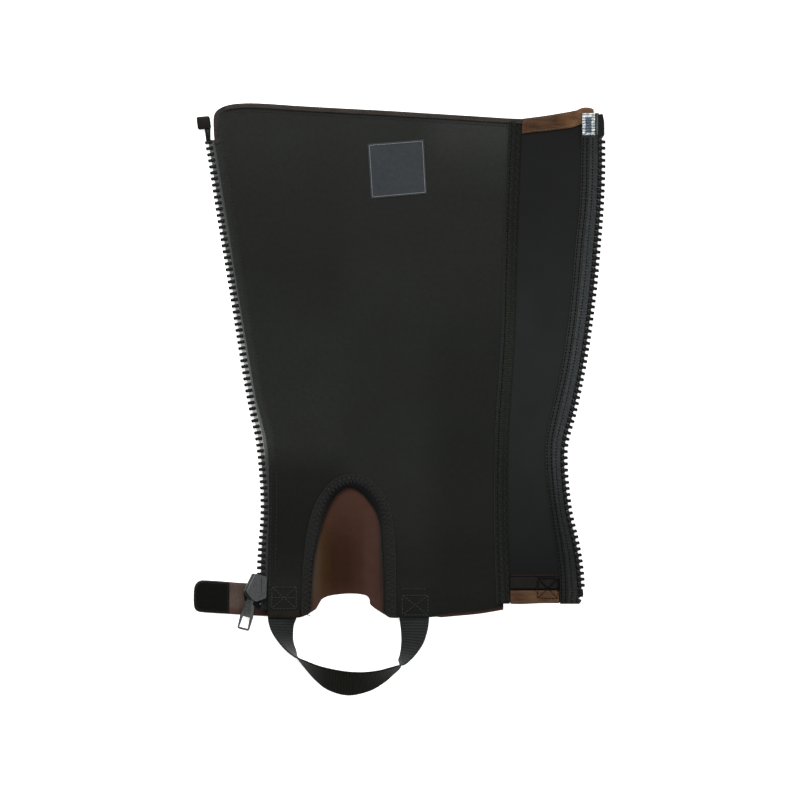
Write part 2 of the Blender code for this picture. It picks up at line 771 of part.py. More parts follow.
def build_tape_right():
    sections = []
    stations = [TAPE_TOP_Y[1], *TAPE_RAISED_Y]
    stations += [y for x, y in TAPE_RIGHT if TAPE_NECK_Y < y < TAPE_RAISED_Y[1]]
    stations += [TAPE_NECK_Y, TAPE_BOTTOM_Y[1]]
    for y in stations:
        outer = level(TIPS_RIGHT, y) - TOOTH_L - GAP
        if y > TEETH_TOP_Y[1]:
            outer = PIN_OUTLINE[0][0] - GAP
        if y < TAPE_NECK_Y:
            outer -= TAPE_NECK_IN
        z = OVERLAY_Z + raised(y)
        inner = level(TAPE_RIGHT, y)
        sections.append([(inner, y, z), (outer, y, z), (outer, y, z + TAPE_T), (inner, y, z + TAPE_T)])
    loft("zip_tape_right", sections)


def teeth_ring(tip, y, side, middle_z):
    """Cross-section of the row of teeth; side is 1 where the tips point right."""
    half = TOOTH_T / 2
    near = TOOTH_L - TOOTH_CHAMFER
    corner = half - TOOTH_CHAMFER
    profile = (
        (0.0, corner), (TOOTH_CHAMFER, half), (near, half), (TOOTH_L, corner),
        (TOOTH_L, -corner), (near, -half), (TOOTH_CHAMFER, -half), (0.0, -corner),
    )
    ring = []
    for back, height in profile:
        x = tip - side * back
        ring.append((x, y, middle_z(x, y) + height))
    return ring


def build_teeth():
    def middle_left(x, y):
        return base(x, y) + INNER_Z + TAPE_T / 2 + tape_tilt(x, y)

    def middle_right(x, y):
        return OVERLAY_Z + TAPE_T / 2 + raised(y)

    left = cut(TIPS_LEFT, TEETH_TOP_Y[0], TEETH_BOTTOM_Y[0])
    loft("zip_teeth_left", [teeth_ring(x, y, -1, middle_left) for x, y in left])
    right = cut(TIPS_RIGHT, TEETH_TOP_Y[1], TEETH_BOTTOM_Y[1])
    right = sorted(right + [(level(TIPS_RIGHT, TAPE_RAISED_Y[1]), TAPE_RAISED_Y[1])], key=lambda p: -p[1])
    loft("zip_teeth_right", [teeth_ring(x, y, 1, middle_right) for x, y in right])


def build_zip_ends():
    box = plate("zip_box_left", BOX_OUTLINE, *BOX_Z)
    union(box, [plate("box_stem", STEM_OUTLINE, *STEM_Z)])
    pin_z = OVERLAY_Z + TAPE_T / 2 + raised(TAPE_TOP_Y[1])
    plate("zip_pin_right", PIN_OUTLINE, pin_z - PIN_HALF_T, pin_z + PIN_HALF_T)
    film_z = OVERLAY_Z + TAPE_T + GAP + raised(TAPE_TOP_Y[1])
    plate("zip_film_right", FILM_OUTLINE, film_z, film_z + FILM_T)
    plate("zip_stop_right", STOP_OUTLINE, 0.0, TOOTH_T)


# Slider and pull tab


def slider_height():
    """Height of the slider's middle, in line with the slot that its tape runs through."""
    edge = level(LINING_LEFT, SLIDER_Y)
    tape_middle = STEP_H + INNER_Z + TAPE_T / 2
    return tape_middle + (edge - SLIDER_X) * math.tan(SLIDER_TILT)


def mirrored(rows):
    return [(half, along) for along, half in rows] + [(-half, along) for along, half in reversed(rows)]


def turned(points):
    """Plane points turned clockwise with the slider."""
    cosine = math.cos(SLIDER_TURN)
    sine = math.sin(SLIDER_TURN)
    return [(x * cosine + y * sine, y * cosine - x * sine) for x, y in points]


def build_slider():
    inner = SLIDER_HALF_T - SLIDER_PLATE_T
    outline = turned(mirrored(SLIDER_OUTLINE))
    body = plate("zip_slider", outline, inner, SLIDER_HALF_T)
    extras = [plate("slider_back", outline, -SLIDER_HALF_T, -inner)]
    for side, mark in ((-1, "left"), (1, "right")):
        rim = [(side * half, along) for along, half in SLIDER_RIM]
        rim += [(side * (half - RIM_W), along) for along, half in reversed(SLIDER_RIM)]
        rim = turned(rim)
        extras.append(plate("upper_rim_" + mark, rim, SLOT_HALF_H, inner + BITE))
        extras.append(plate("lower_rim_" + mark, rim, -inner - BITE, -SLOT_HALF_H))
    extras.append(plate("slider_post", turned(SLIDER_POST), -inner - BITE, inner + BITE))
    low = -SLIDER_HALF_T - BRIDGE_OPEN_H
    for name, middle in (("bridge_near_leg", BRIDGE_LEG_V), ("bridge_far_leg", BRIDGE_FAR_V)):
        leg = rectangle(BRIDGE_U - BRIDGE_LEG_HALF, BRIDGE_U + BRIDGE_LEG_HALF,
                        middle - BRIDGE_LEG_HALF, middle + BRIDGE_LEG_HALF)
        extras.append(plate(name, leg, low - BITE, -inner - BITE))
    bar = rectangle(BRIDGE_U - BRIDGE_HALF_W, BRIDGE_U + BRIDGE_HALF_W,
                    BRIDGE_LEG_V - BRIDGE_HALF_W, BRIDGE_FAR_V + BRIDGE_HALF_W)
    extras.append(plate("bridge_bar", bar, low - BRIDGE_BAR_T, low))
    union(body, extras)
    body.rotation_euler = (0.0, SLIDER_TILT, 0.0)
    body.location = Vector((SLIDER_X, SLIDER_Y, slider_height())) * MM


def pull_pivot():
    """Middle of the bridge's leg, halfway between the bar and the slider's back."""
    w = -SLIDER_HALF_T - BRIDGE_OPEN_H / 2
    x = SLIDER_X + BRIDGE_U * math.cos(SLIDER_TILT) + w * math.sin(SLIDER_TILT)
    z = slider_height() - BRIDGE_U * math.sin(SLIDER_TILT) + w * math.cos(SLIDER_TILT)
    return Vector((x, SLIDER_Y + BRIDGE_LEG_V, z))


def arc(x, y, radius, start, end, count):
    """Points on an arc, in degrees and anticlockwise."""
    angles = [math.radians(start + (end - start) * k / count) for k in range(count + 1)]
    return [(x + radius * math.cos(a), y + radius * math.sin(a)) for a in angles]


def build_pull():
    half = PULL_TIP_W / 2 - PULL_CORNER_R
    tip = -PULL_L + PULL_CORNER_R
    outline = arc(0.0, 0.0, PULL_EYE_R, 15, 165, 8)
    outline += [(-PULL_NECK_W / 2, -PULL_NECK_S), (-PULL_WIDE_W / 2, -PULL_WIDE_S)]
    outline += arc(-half, tip, PULL_CORNER_R, 180, 270, 3)
    outline += arc(half, tip, PULL_CORNER_R, 270, 360, 3)
    outline += [(PULL_WIDE_W / 2, -PULL_WIDE_S), (PULL_NECK_W / 2, -PULL_NECK_S)]
    eye = arc(0.0, 0.0, PULL_EYE_HOLE_R, 0, 330, 11)
    upper, lower = PULL_WINDOW_S
    upper_w, lower_w = PULL_WINDOW_W
    window = [(-upper_w / 2, -upper), (-lower_w / 2, -lower), (lower_w / 2, -lower), (upper_w / 2, -upper)]
    pull = plate("zip_pull", outline, -PULL_T / 2, PULL_T / 2, [eye, window])
    pull.rotation_euler = (0.0, PULL_ROLL, -PULL_LEAN)
    pull.location = pull_pivot() * MM
    return pull


# Stirrup strap and tab


def build_strap():
    run = smooth(STRAP_STATIONS, 5.5)
    middles = [(Vector(p[:3]) + Vector(p[3:])) / 2 for p in run]
    sections = []
    for i, p in enumerate(run):
        outer = Vector(p[:3])
        inner = Vector(p[3:])
        ahead = middles[min(i + 1, len(run) - 1)] - middles[max(i - 1, 0)]
        normal = ahead.cross(inner - outer).normalized() * (WEBBING_T / 2)
        sections.append([tuple(c) for c in (outer + normal, inner + normal, inner - normal, outer - normal)])
    loft("stirrup_strap", sections)


def build_tab():
    plate("tab_leather", TAB_OUTLINE, 0.0, TAB_T)
    plate("tab_hook_patch", HOOK_OUTLINE, TAB_T + GAP, TAB_T + GAP + HOOK_T)


for old in list(bpy.data.objects):
    bpy.data.objects.remove(old, do_unlink=True)
build_panel()
build_gusset()
build_welt()
build_tape_right()
build_teeth()
build_zip_ends()
build_slider()
build_pull()
build_strap()
build_tab()
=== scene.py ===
import math
import random

import bmesh
import bpy
import numpy as np
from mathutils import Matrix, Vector, noise
from mathutils.bvhtree import BVHTree
from mathutils.geometry import delaunay_2d_cdt
from mathutils.kdtree import KDTree


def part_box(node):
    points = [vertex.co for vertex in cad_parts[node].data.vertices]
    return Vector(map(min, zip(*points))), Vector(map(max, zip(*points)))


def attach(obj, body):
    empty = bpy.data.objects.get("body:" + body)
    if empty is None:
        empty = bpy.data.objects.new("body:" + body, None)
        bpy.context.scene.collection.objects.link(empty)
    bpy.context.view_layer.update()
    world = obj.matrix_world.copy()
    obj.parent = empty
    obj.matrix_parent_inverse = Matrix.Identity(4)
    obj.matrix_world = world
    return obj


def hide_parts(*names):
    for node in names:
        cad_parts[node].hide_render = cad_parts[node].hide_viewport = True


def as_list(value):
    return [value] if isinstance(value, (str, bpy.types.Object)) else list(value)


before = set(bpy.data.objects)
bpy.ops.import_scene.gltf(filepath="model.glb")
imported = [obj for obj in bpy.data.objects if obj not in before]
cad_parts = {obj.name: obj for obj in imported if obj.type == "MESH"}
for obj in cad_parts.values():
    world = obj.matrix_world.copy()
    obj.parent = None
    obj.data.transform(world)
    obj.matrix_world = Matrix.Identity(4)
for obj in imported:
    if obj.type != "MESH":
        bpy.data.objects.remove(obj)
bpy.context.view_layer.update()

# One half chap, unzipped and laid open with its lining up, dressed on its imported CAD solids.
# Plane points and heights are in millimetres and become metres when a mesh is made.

MM = 0.001
BODY = "chap"
PULL_BODY = "pull_tab"

# View and light
VIEW_WIDTH = 0.672
LENS = 250.0
SENSOR = 36.0
FLOOR_SIZE = 12.0

# Cloth and leather
CLOTH_STEP = 3.6
WIDE_STEP = 4.2
FINE_STEP = 2.2
EDGE_STEP = 1.8
FIELD_STEP = 1.0
WAVE_LONG = 0.45
WAVE_SHORT = 0.12
CALM = (-120.1, -156.2)
CALM_REACH = 60.0
LEG = 250.0
HEM_SHOWS = ((-88.0, -74.0), (-12.0, 1.0), (31.0, 94.0))
HEM_LET_OUT = 0.9
STITCH_PITCH = 3.4
STITCH_R = 0.26
THREAD_SIDES = 6
ROLL_ANGLES = (0, 32, 62, 90)
GROOVE_REACH = 1.5

# Zip
TOOTH_PITCH = 5.15
TAPE_T = 0.9

random.seed(7)


# Small helpers


def clamp(value, low=0.0, high=1.0):
    return min(max(value, low), high)


def hump(away, width):
    """1 at a place, falling to 0 around it."""
    return math.exp(-(away / width) ** 2)


def around(loop):
    """Each point of a loop with the next one."""
    return list(zip(loop, loop[1:] + loop[:1]))


def line(a, b, count=20):
    """Points at equal steps on a straight line."""
    return [Vector(a).lerp(Vector(b), k / count) for k in range(count + 1)]


def raised(height, by):
    """A height function, lifted."""
    return lambda x, y: height(x, y) + by


def at_height(z):
    """A height function that is the same all over."""
    return lambda x, y: z


# Reading the frame


def cad_faces(node):
    """Welded points in millimetres and triangles of a CAD node."""
    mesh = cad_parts[node].data
    mesh.calc_loop_triangles()
    found = {}
    points = []
    place = []
    for vertex in mesh.vertices:
        key = tuple(round(c * 1e6) for c in vertex.co)
        if key not in found:
            found[key] = len(points)
            points.append(vertex.co / MM)
        place.append(found[key])
    return points, [tuple(place[i] for i in t.vertices) for t in mesh.loop_triangles]


def facing(points, faces, sign):
    """The faces that look up (sign 1) or down (sign -1)."""
    chosen = []
    for face in faces:
        a, b, c = (points[i] for i in face)
        normal = (b - a).cross(c - a)
        if normal.length > 0 and sign * normal.z > 0.5 * normal.length:
            chosen.append(face)
    return chosen


def curve(points, step, measure=lambda span: span.length, walked=None):
    """A smooth open curve through points, resampled about step apart as measured, or as walked if given."""
    walked = walked or measure
    spans = [max(measure(b - a), 1e-6) for a, b in zip(points, points[1:])]
    slopes = []
    for i in range(len(points)):
        lo, hi = max(i - 1, 0), min(i + 1, len(points) - 1)
        slopes.append((points[hi] - points[lo]) / sum(spans[lo:hi]))
    result = [points[0]]
    for i, span in enumerate(spans):
        count = max(1, round(walked(points[i + 1] - points[i]) / step))
        for k in range(1, count + 1):
            t = k / count
            result.append(
                points[i] * (1 + 2 * t) * (1 - t) ** 2 + slopes[i] * span * t * (1 - t) ** 2
                + points[i + 1] * t * t * (3 - 2 * t) + slopes[i + 1] * span * t * t * (t - 1)
            )
    return result


def outline(node, step=EDGE_STEP, sharp=48.0):
    """The upper edge of a CAD node as a smooth anticlockwise loop that keeps its sharp corners."""
    points, faces = cad_faces(node)
    top = facing(points, faces, 1)
    directed = {(a, b) for f in top for a, b in zip(f, f[1:] + f[:1])}
    following = {a: b for a, b in directed if (b, a) not in directed}
    loops = []
    while following:
        start = next(iter(following))
        loop = []
        at = start
        while at in following:
            loop.append(at)
            at = following.pop(at)
        loops.append([points[i].to_2d() for i in loop])
    loop = max(loops, key=lambda run: sum((b - a).length for a, b in zip(run, run[1:])))
    corners = []
    for i, p in enumerate(loop):
        turn = (p - loop[i - 1]).angle(loop[(i + 1) % len(loop)] - p, 0.0)
        if math.degrees(turn) > sharp:
            corners.append(i)
    first = corners[0] if corners else 0
    loop = loop[first:] + loop[:first] + [loop[first]]
    marks = [c - first for c in corners[1:]] + [len(loop) - 1]
    smooth = []
    begin = 0
    for mark in marks:
        smooth += curve(loop[begin:mark + 1], step)[:-1]
        begin = mark
    return smooth


def crossings(loop, y):
    """Sorted x values at which a loop passes the height y."""
    found = []
    for a, b in around(loop):
        if (a.y > y) != (b.y > y):
            found.append(a.x + (b.x - a.x) * (y - a.y) / (b.y - a.y))
    return sorted(found)


def wave(x, y):
    """Slight unevenness of the panel as it lies, the same for all its layers."""
    long = noise.noise(Vector((x / 62, y / 78, 1.7)))
    short = noise.noise(Vector((x / 17, y / 24, 5.1)))
    calm = min(math.dist((x, y), CALM) / CALM_REACH, 1.0)
    return calm * (WAVE_LONG * (long + 1) + WAVE_SHORT * (short + 1)) / 2


class Field:
    """Softened heights of one side of a CAD node, on a square grid."""

    def __init__(self, node, sign, lift=None, margin=12.0, blur=2):
        points, faces = cad_faces(node)
        tree = BVHTree.FromPolygons(points, facing(points, faces, sign))
        low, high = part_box(node)
        self.x0 = low.x / MM - margin
        self.y0 = low.y / MM - margin
        columns = int((high.x / MM + margin - self.x0) / FIELD_STEP) + 2
        rows = int((high.y / MM + margin - self.y0) / FIELD_STEP) + 2
        grid = np.full((rows, columns), np.nan)
        down = Vector((0, 0, -1))
        for r in range(rows):
            for c in range(columns):
                x, y = self.x0 + c * FIELD_STEP, self.y0 + r * FIELD_STEP
                hit = tree.ray_cast(Vector((x, y, 100.0)), down)[0]
                if hit:
                    grid[r, c] = hit.z + (lift(x, y) if lift else 0.0)
        self.grid = self.soften(self.spread(grid, int(margin / FIELD_STEP) + 2), blur)

    @staticmethod
    def spread(grid, count):
        """Fills the cells round the node from their neighbours."""
        for _ in range(count):
            known = ~np.isnan(grid)
            padded = np.pad(np.where(known, grid, 0.0), 1)
            weight = np.pad(known.astype(float), 1)
            total = padded[:-2, 1:-1] + padded[2:, 1:-1] + padded[1:-1, :-2] + padded[1:-1, 2:]
            near = weight[:-2, 1:-1] + weight[2:, 1:-1] + weight[1:-1, :-2] + weight[1:-1, 2:]
            grow = ~known & (near > 0)
            grid = np.where(grow, total / np.maximum(near, 1.0), grid)
        return np.where(np.isnan(grid), np.nanmean(grid), grid)

    @staticmethod
    def soften(grid, passes):
        for _ in range(passes):
            wide = np.pad(grid, 1, mode="edge")
            grid = (wide[:-2, 1:-1] + wide[2:, 1:-1] + wide[1:-1, :-2] + wide[1:-1, 2:] + 2 * grid) / 6
        return grid

    def __call__(self, x, y):
        fx = clamp((x - self.x0) / FIELD_STEP, 0.0, self.grid.shape[1] - 1.001)
        fy = clamp((y - self.y0) / FIELD_STEP, 0.0, self.grid.shape[0] - 1.001)
        c, r = int(fx), int(fy)
        tx, ty = fx - c, fy - r
        g = self.grid
        upper = g[r + 1, c] * (1 - tx) + g[r + 1, c + 1] * tx
        return float((g[r, c] * (1 - tx) + g[r, c + 1] * tx) * (1 - ty) + upper * ty)


def fields(node):
    """Softened heights of the two sides of a CAD node."""
    return Field(node, 1, wave), Field(node, -1, wave)


def flat_heights(node):
    """Constant heights of the two sides of a flat CAD plate, with the panel's unevenness."""
    low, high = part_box(node)
    return [raised(wave, z / MM) for z in (high.z, low.z)]


# Meshes


def link(name, data):
    """A new object in the scene."""
    made = bpy.data.objects.new(name, data)
    bpy.context.scene.collection.objects.link(made)
    return made


def settle(name, mesh, materials, body, node):
    """A piece that rides on a CAD body, and stands for a CAD node if one is given."""
    for material in materials:
        mesh.materials.append(material)
    piece = link(name, mesh)
    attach(piece, body)
    if node:
        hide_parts(node)
    return piece


def finish_mesh(name, points, faces, material, node=None, body=BODY, uvs=()):
    """A smooth-shaded piece from points in millimetres."""
    mesh = bpy.data.meshes.new(name)
    mesh.from_pydata([Vector(p) * MM for p in points], [], faces)
    if uvs:
        layer = mesh.uv_layers.new(name="metres")
        for loop in mesh.loops:
            layer.data[loop.index].uv = uvs[loop.vertex_index]
    shell = bmesh.new()
    shell.from_mesh(mesh)
    bmesh.ops.recalc_face_normals(shell, faces=shell.faces)
    shell.to_mesh(mesh)
    shell.free()
    mesh.polygons.foreach_set("use_smooth", [True] * len(mesh.polygons))
    return settle(name, mesh, [material], body, node)


def tube(first, rings, size):
    """The faces round a stack of rings of points, with a cap at each end."""
    faces = []
    last = first + (rings - 1) * size
    for s in range(first, last, size):
        for i in range(size):
            j = (i + 1) % size
            faces.append((s + i, s + j, s + size + j, s + size + i))
    return faces + [tuple(range(start, start + size)) for start in (first, last)]


def inset(loop, distance):
    """An anticlockwise loop moved inwards, point by point."""
    result = []
    for i, p in enumerate(loop):
        before = (p - loop[i - 1]).normalized()
        after = (loop[(i + 1) % len(loop)] - p).normalized()
        along = before + after
        if along.length < 1e-6:
            along = before
        along.normalize()
        inward = Vector((-along.y, along.x))
        cosine = max(inward.dot(Vector((-before.y, before.x))), 0.45)
        result.append(p + inward * (distance / cosine))
    return result


def inner_dots(loop, step, taken):
    """Staggered points inside a loop that keep clear of the points already taken."""
    tree = KDTree(len(taken))
    for i, p in enumerate(taken):
        tree.insert((p.x, p.y, 0.0), i)
    tree.balance()
    top = max(p.y for p in loop)
    bottom = min(p.y for p in loop)
    dots = []
    row = 0
    y = bottom + step * 0.4
    while y < top:
        spans = crossings(loop, y)
        for start, end in zip(spans[::2], spans[1::2]):
            x = (math.floor(start / step) + 0.5 * (row % 2)) * step
            while x < end:
                if x > start and tree.find((x, y, 0.0))[2] > 0.6 * step:
                    dots.append(Vector((x, y)))
                x += step
        y += step * 0.866
        row += 1
    return dots


def offset_run(run, distance):
    """An open run moved to its left."""
    moved = []
    for i, p in enumerate(run):
        along = (run[min(i + 1, len(run) - 1)] - run[max(i - 1, 0)]).normalized()
        moved.append(p + Vector((-along.y, along.x)) * distance)
    return moved


def wall(name, loop, top, low, material, node=None, step=CLOTH_STEP, grooves=(), body=BODY):
    """A closed sheet inside a loop with a rolled edge. A groove is a run of points and its depth."""
    half = float(np.median([top(p.x, p.y) - low(p.x, p.y) for p in loop])) / 2
    angles = [math.radians(a) for a in ROLL_ANGLES]
    rings = [inset(loop, half * (1 - math.cos(a))) for a in angles]
    inner = rings[-1]
    marks = list(inner)
    drops = [0.0] * len(inner)
    for run, depth in grooves:
        for shift, part in ((0.0, 1.0), (GROOVE_REACH, 0.0), (-GROOVE_REACH, 0.0)):
            marks += offset_run(run, shift)
            drops += [depth * part] * len(run)
    dots = inner_dots(inner, step, marks)
    marks += dots
    drops += [0.0] * len(dots)
    count = len(inner)
    edges = [(i, (i + 1) % count) for i in range(count)]
    net = delaunay_2d_cdt(marks, edges, [], 1, 1e-4)
    plane, triangles, sources = net[0], net[2], net[3]
    place = {}
    drop = [0.0] * len(plane)
    for new, old in enumerate(sources):
        for i in old:
            place[i] = new
            drop[new] = max(drop[new], drops[i])
    points = [(p.x, p.y, top(p.x, p.y) - drop[i]) for i, p in enumerate(plane)]
    size = len(points)
    points += [(p.x, p.y, low(p.x, p.y)) for p in plane]
    faces = []
    for face in triangles:
        a, b, c = (plane[i] for i in face)
        if (b - a).cross(c - a) < 0:
            face = face[::-1]
        faces.append(tuple(face))
        faces.append(tuple(i + size for i in reversed(face)))
    heights = [(top(p.x, p.y), low(p.x, p.y)) for p in inner]
    belts = [[place[i] for i in range(count)]]
    for k in (2, 1, 0, -1, -2):
        rise = math.copysign(math.sin(angles[abs(k)]), k)
        belts.append(range(len(points), len(points) + count))
        for p, (up, down) in zip(rings[abs(k)], heights):
            points.append((p.x, p.y, (up + down) / 2 + rise * (up - down) / 2))
    belts.append([place[i] + size for i in range(count)])
    for upper, lower in zip(belts, belts[1:]):
        for i in range(count):
            j = (i + 1) % count
            face = [upper[i], lower[i], lower[j], upper[j]]
            face = [v for k, v in enumerate(face) if v != face[k - 1]]
            if len(face) > 2:
                faces.append(tuple(face))
    return finish_mesh(name, points, faces, material, node, body)


def ribbon(name, rings, material, node=None):
    """A closed skin over rings of equal point count, with UVs in metres along and around it."""
    size = len(rings[0])
    rings = [[Vector(p) for p in ring] for ring in rings]
    middles = [sum(ring, Vector((0, 0, 0))) / size for ring in rings]
    uvs = []
    along = 0.0
    for ring, middle, before in zip(rings, middles, middles[:1] + middles):
        along += (middle - before).length
        round_it = 0.0
        for p, q in zip(ring, ring[:1] + ring):
            round_it += (p - q).length
            uvs.append((along * MM, round_it * MM))
    points = [p for ring in rings for p in ring]
    return finish_mesh(name, points, tube(0, len(rings), size), material, node, uvs=uvs)


def strip(name, left, right, height, profile, material, node=None):
    """A strip between two plane runs. The profile lists a share across, and a height above height(x, y)."""
    rings = []
    for a, b in zip(left, right):
        places = [(a + (b - a) * share, up) for share, up in profile]
        rings.append([(p.x, p.y, height(p.x, p.y) + up) for p, up in places])
    return ribbon(name, rings, material, node)


def second_finish(piece, material, ring, first, last):
    """Gives a ribbon's faces between two places of its profile a finish of their own."""
    piece.data.materials.append(material)
    for face in piece.data.polygons:
        places = [v % ring for v in face.vertices]
        if len(places) == 4 and min(places) >= first and max(places) <= last:
            face.material_index = len(piece.data.materials) - 1


def on_profile(profile, at, otherwise):
    """The height of a profile at a place across."""
    for (a, za), (b, zb) in zip(profile, profile[1:]):
        if a <= at <= b and b > a:
            return za + (zb - za) * (at - a) / (b - a)
    return otherwise


def rounded(node, name, width, materials, body=BODY):
    """A copy of a hard CAD solid with its edges rounded over, in the last of the materials."""
    points, faces = cad_faces(node)
    mesh = bpy.data.meshes.new(name)
    mesh.from_pydata([p * MM for p in points], [], faces)
    shell = bmesh.new()
    shell.from_mesh(mesh)
    bmesh.ops.dissolve_limit(shell, angle_limit=math.radians(2), verts=shell.verts, edges=shell.edges)
    sharp = [e for e in shell.edges if e.is_manifold and e.calc_face_angle() > math.radians(28)]
    bmesh.ops.bevel(shell, geom=sharp, offset=width * MM, segments=3, profile=0.6, affect="EDGES",
                    clamp_overlap=True, material=len(materials) - 1)
    bmesh.ops.recalc_face_normals(shell, faces=shell.faces)
    shell.to_mesh(mesh)
    shell.free()
    return settle(name, mesh, materials, body, node)


# Sewing


def walk(run, pitch, start=0.0):
    """Points and directions at equal steps along a run."""
    found = []
    wanted = start
    done = 0.0
    for a, b in zip(run, run[1:]):
        length = (b - a).length
        while wanted <= done + length and length > 0:
            found.append((a + (b - a) * ((wanted - done) / length), (b - a) / length))
            wanted += pitch
        done += length
    return found


def row(run, pitch=STITCH_PITCH, fill=0.78):
    """A straight row of stitches along a run, as pairs of end points."""
    stops = [p for p, _ in walk(run, pitch)]
    return [(a, a + (b - a) * fill) for a, b in zip(stops, stops[1:])]


def zigzag(run, near, far, pitch):
    """Stitches that go back and forth between two distances to the left of a run."""
    stops = []
    for i, (p, along) in enumerate(walk(run, pitch / 2)):
        stops.append(p + Vector((-along.y, along.x)) * (far if i % 2 else near))
    return list(zip(stops, stops[1:]))


def threads(name, pairs, surface, material, radius=STITCH_R, lift=1.0):
    """Sewn threads that leave the cloth at one end of each pair and enter it at the other."""
    points = []
    faces = []
    for a, b in pairs:
        span = b - a
        if span.length < 0.2:
            continue
        across = Vector((-span.y, span.x)).normalized()
        stations = max(5, int(span.length / 1.4) + 4)
        faces += tube(len(points), stations, THREAD_SIDES)
        for k in range(stations):
            t = k / (stations - 1)
            p = a + span * t
            rise = radius * (lift * min(1.0, 5.5 * min(t, 1 - t)) - 0.75 * (t in (0.0, 1.0)))
            z = surface(p.x, p.y) + rise
            thin = 0.65 if k in (0, stations - 1) else 1.0
            for s in range(THREAD_SIDES):
                angle = 2 * math.pi * s / THREAD_SIDES
                aside = across * (math.cos(angle) * radius * thin)
                points.append((p.x + aside.x, p.y + aside.y, z + math.sin(angle) * radius * 0.8 * thin))
    return finish_mesh(name, points, faces, material)


# Materials


class Paint:
    """One node material, built up from a Principled shader."""

    def __init__(self, name, **values):
        self.material = bpy.data.materials.new(name)
        self.material.use_nodes = True
        self.tree = self.material.node_tree
        self.shader = self.tree.nodes["Principled BSDF"]
        self.set(**values)
        coords = self.tree.nodes.new("ShaderNodeTexCoord")
        self.place = coords.outputs["Object"]
        self.uv = coords.outputs["UV"]

    def set(self, **values):
        for socket, value in values.items():
            self.plug(self.shader.inputs[socket.replace("_", " ")], value)

    def plug(self, socket, value):
        if isinstance(value, bpy.types.NodeSocket):
            self.tree.links.new(value, socket)
        else:
            socket.default_value = value

    def add(self, kind, inputs, **settings):
        node = self.tree.nodes.new("ShaderNode" + kind)
        for key, value in settings.items():
            setattr(node, key, value)
        for key, value in inputs.items():
            self.plug(node.inputs[key], value)
        return node.outputs

    def speckle(self, cell, detail=4.0, rough=0.55, vector=None):
        """Noise with features about one cell wide, in metres."""
        inputs = {"Vector": vector or self.place, "Scale": 1 / cell, "Detail": detail, "Roughness": rough}
        return self.add("TexNoise", inputs)["Fac"]

    def cells(self, cell, feature="F1"):
        return self.add("TexVoronoi", {"Vector": self.place, "Scale": 1 / cell}, feature=feature)["Distance"]

    def bands(self, wavelength, turn=0.0, vector=None, distortion=0.0):
        """Sine bands with the given wavelength, turned about Z in degrees."""
        inputs = {"Vector": vector or self.place, "Rotation": (0.0, 0.0, math.radians(turn))}
        turned = self.add("Mapping", inputs)["Vector"]
        inputs = {"Vector": turned, "Scale": math.pi / (10 * wavelength), "Distortion": distortion,
                  "Detail": 1.0, "Detail Scale": 1.5}
        return self.add("TexWave", inputs, bands_direction="X")["Fac"]

    def math(self, operation, a, b=0.5):
        return self.add("Math", {0: a, 1: b}, operation=operation)["Value"]

    def total(self, *parts):
        """The sum of values, each times its weight."""
        terms = [self.math("MULTIPLY", value, weight) for value, weight in parts]
        result = terms[0]
        for term in terms[1:]:
            result = self.math("ADD", result, term)
        return result

    def shade(self, value, *stops):
        """A colour ramp; each stop is a position and a linear colour or grey."""
        node = self.tree.nodes.new("ShaderNodeValToRGB")
        ramp = node.color_ramp.elements
        while len(ramp) < len(stops):
            ramp.new(0.5)
        for element, (position, colour) in zip(ramp, stops):
            element.position = position
            element.color = (*colour, 1.0) if isinstance(colour, tuple) else (colour, colour, colour, 1.0)
        self.plug(node.inputs["Fac"], value)
        return node.outputs["Color"]

    def mix(self, share, a, b, blend="MIX"):
        return self.add("Mix", {0: share, 6: a, 7: b}, data_type="RGBA", blend_type=blend)[2]

    def times(self, a, b):
        return self.mix(1.0, a, b, "MULTIPLY")

    def level(self, value, low, high):
        """A 0 to 1 value moved to another range."""
        return self.add("MapRange", {"Value": value, "To Min": low, "To Max": high})["Result"]

    def axis(self, letter):
        """One coordinate of the place, in metres."""
        return self.add("SeparateXYZ", {"Vector": self.place})[letter]

    def span(self, value, low, high):
        """0 below low and 1 above high, with a soft rise between them."""
        inputs = {"Value": value, "From Min": low, "From Max": high}
        return self.add("MapRange", inputs, interpolation_type="SMOOTHSTEP")["Result"]

    def over(self, letter, stops, low=-LEG, high=LEG):
        """A tint that changes along an axis; each stop is a place in millimetres and a colour."""
        inputs = {"Value": self.axis(letter), "From Min": low * MM, "From Max": high * MM}
        share = self.add("MapRange", inputs)["Result"]
        return self.shade(share, *[((at - low) / (high - low), colour) for at, colour in sorted(stops)])

    def tinted(self, colour, down, across=()):
        """A colour times tints that change across and down the leg."""
        for letter, stops in (("X", across), ("Y", down)):
            if stops:
                colour = self.times(colour, self.over(letter, stops))
        return colour

    def beside(self, left, *others):
        """Tints down the leg: the left table, then each next one, taking over between two places across."""
        tint = self.over("Y", left)
        for start, end, stops in others:
            tint = self.mix(self.span(self.axis("X"), start * MM, end * MM), tint, self.over("Y", stops))
        return tint

    def bump(self, height, depth, strength=1.0, normal=None):
        inputs = {"Height": height, "Distance": depth * MM, "Strength": strength}
        if normal:
            inputs["Normal"] = normal
        return self.add("Bump", inputs)["Normal"]


def scaled(colour, factor):
    return tuple(c * factor for c in colour)


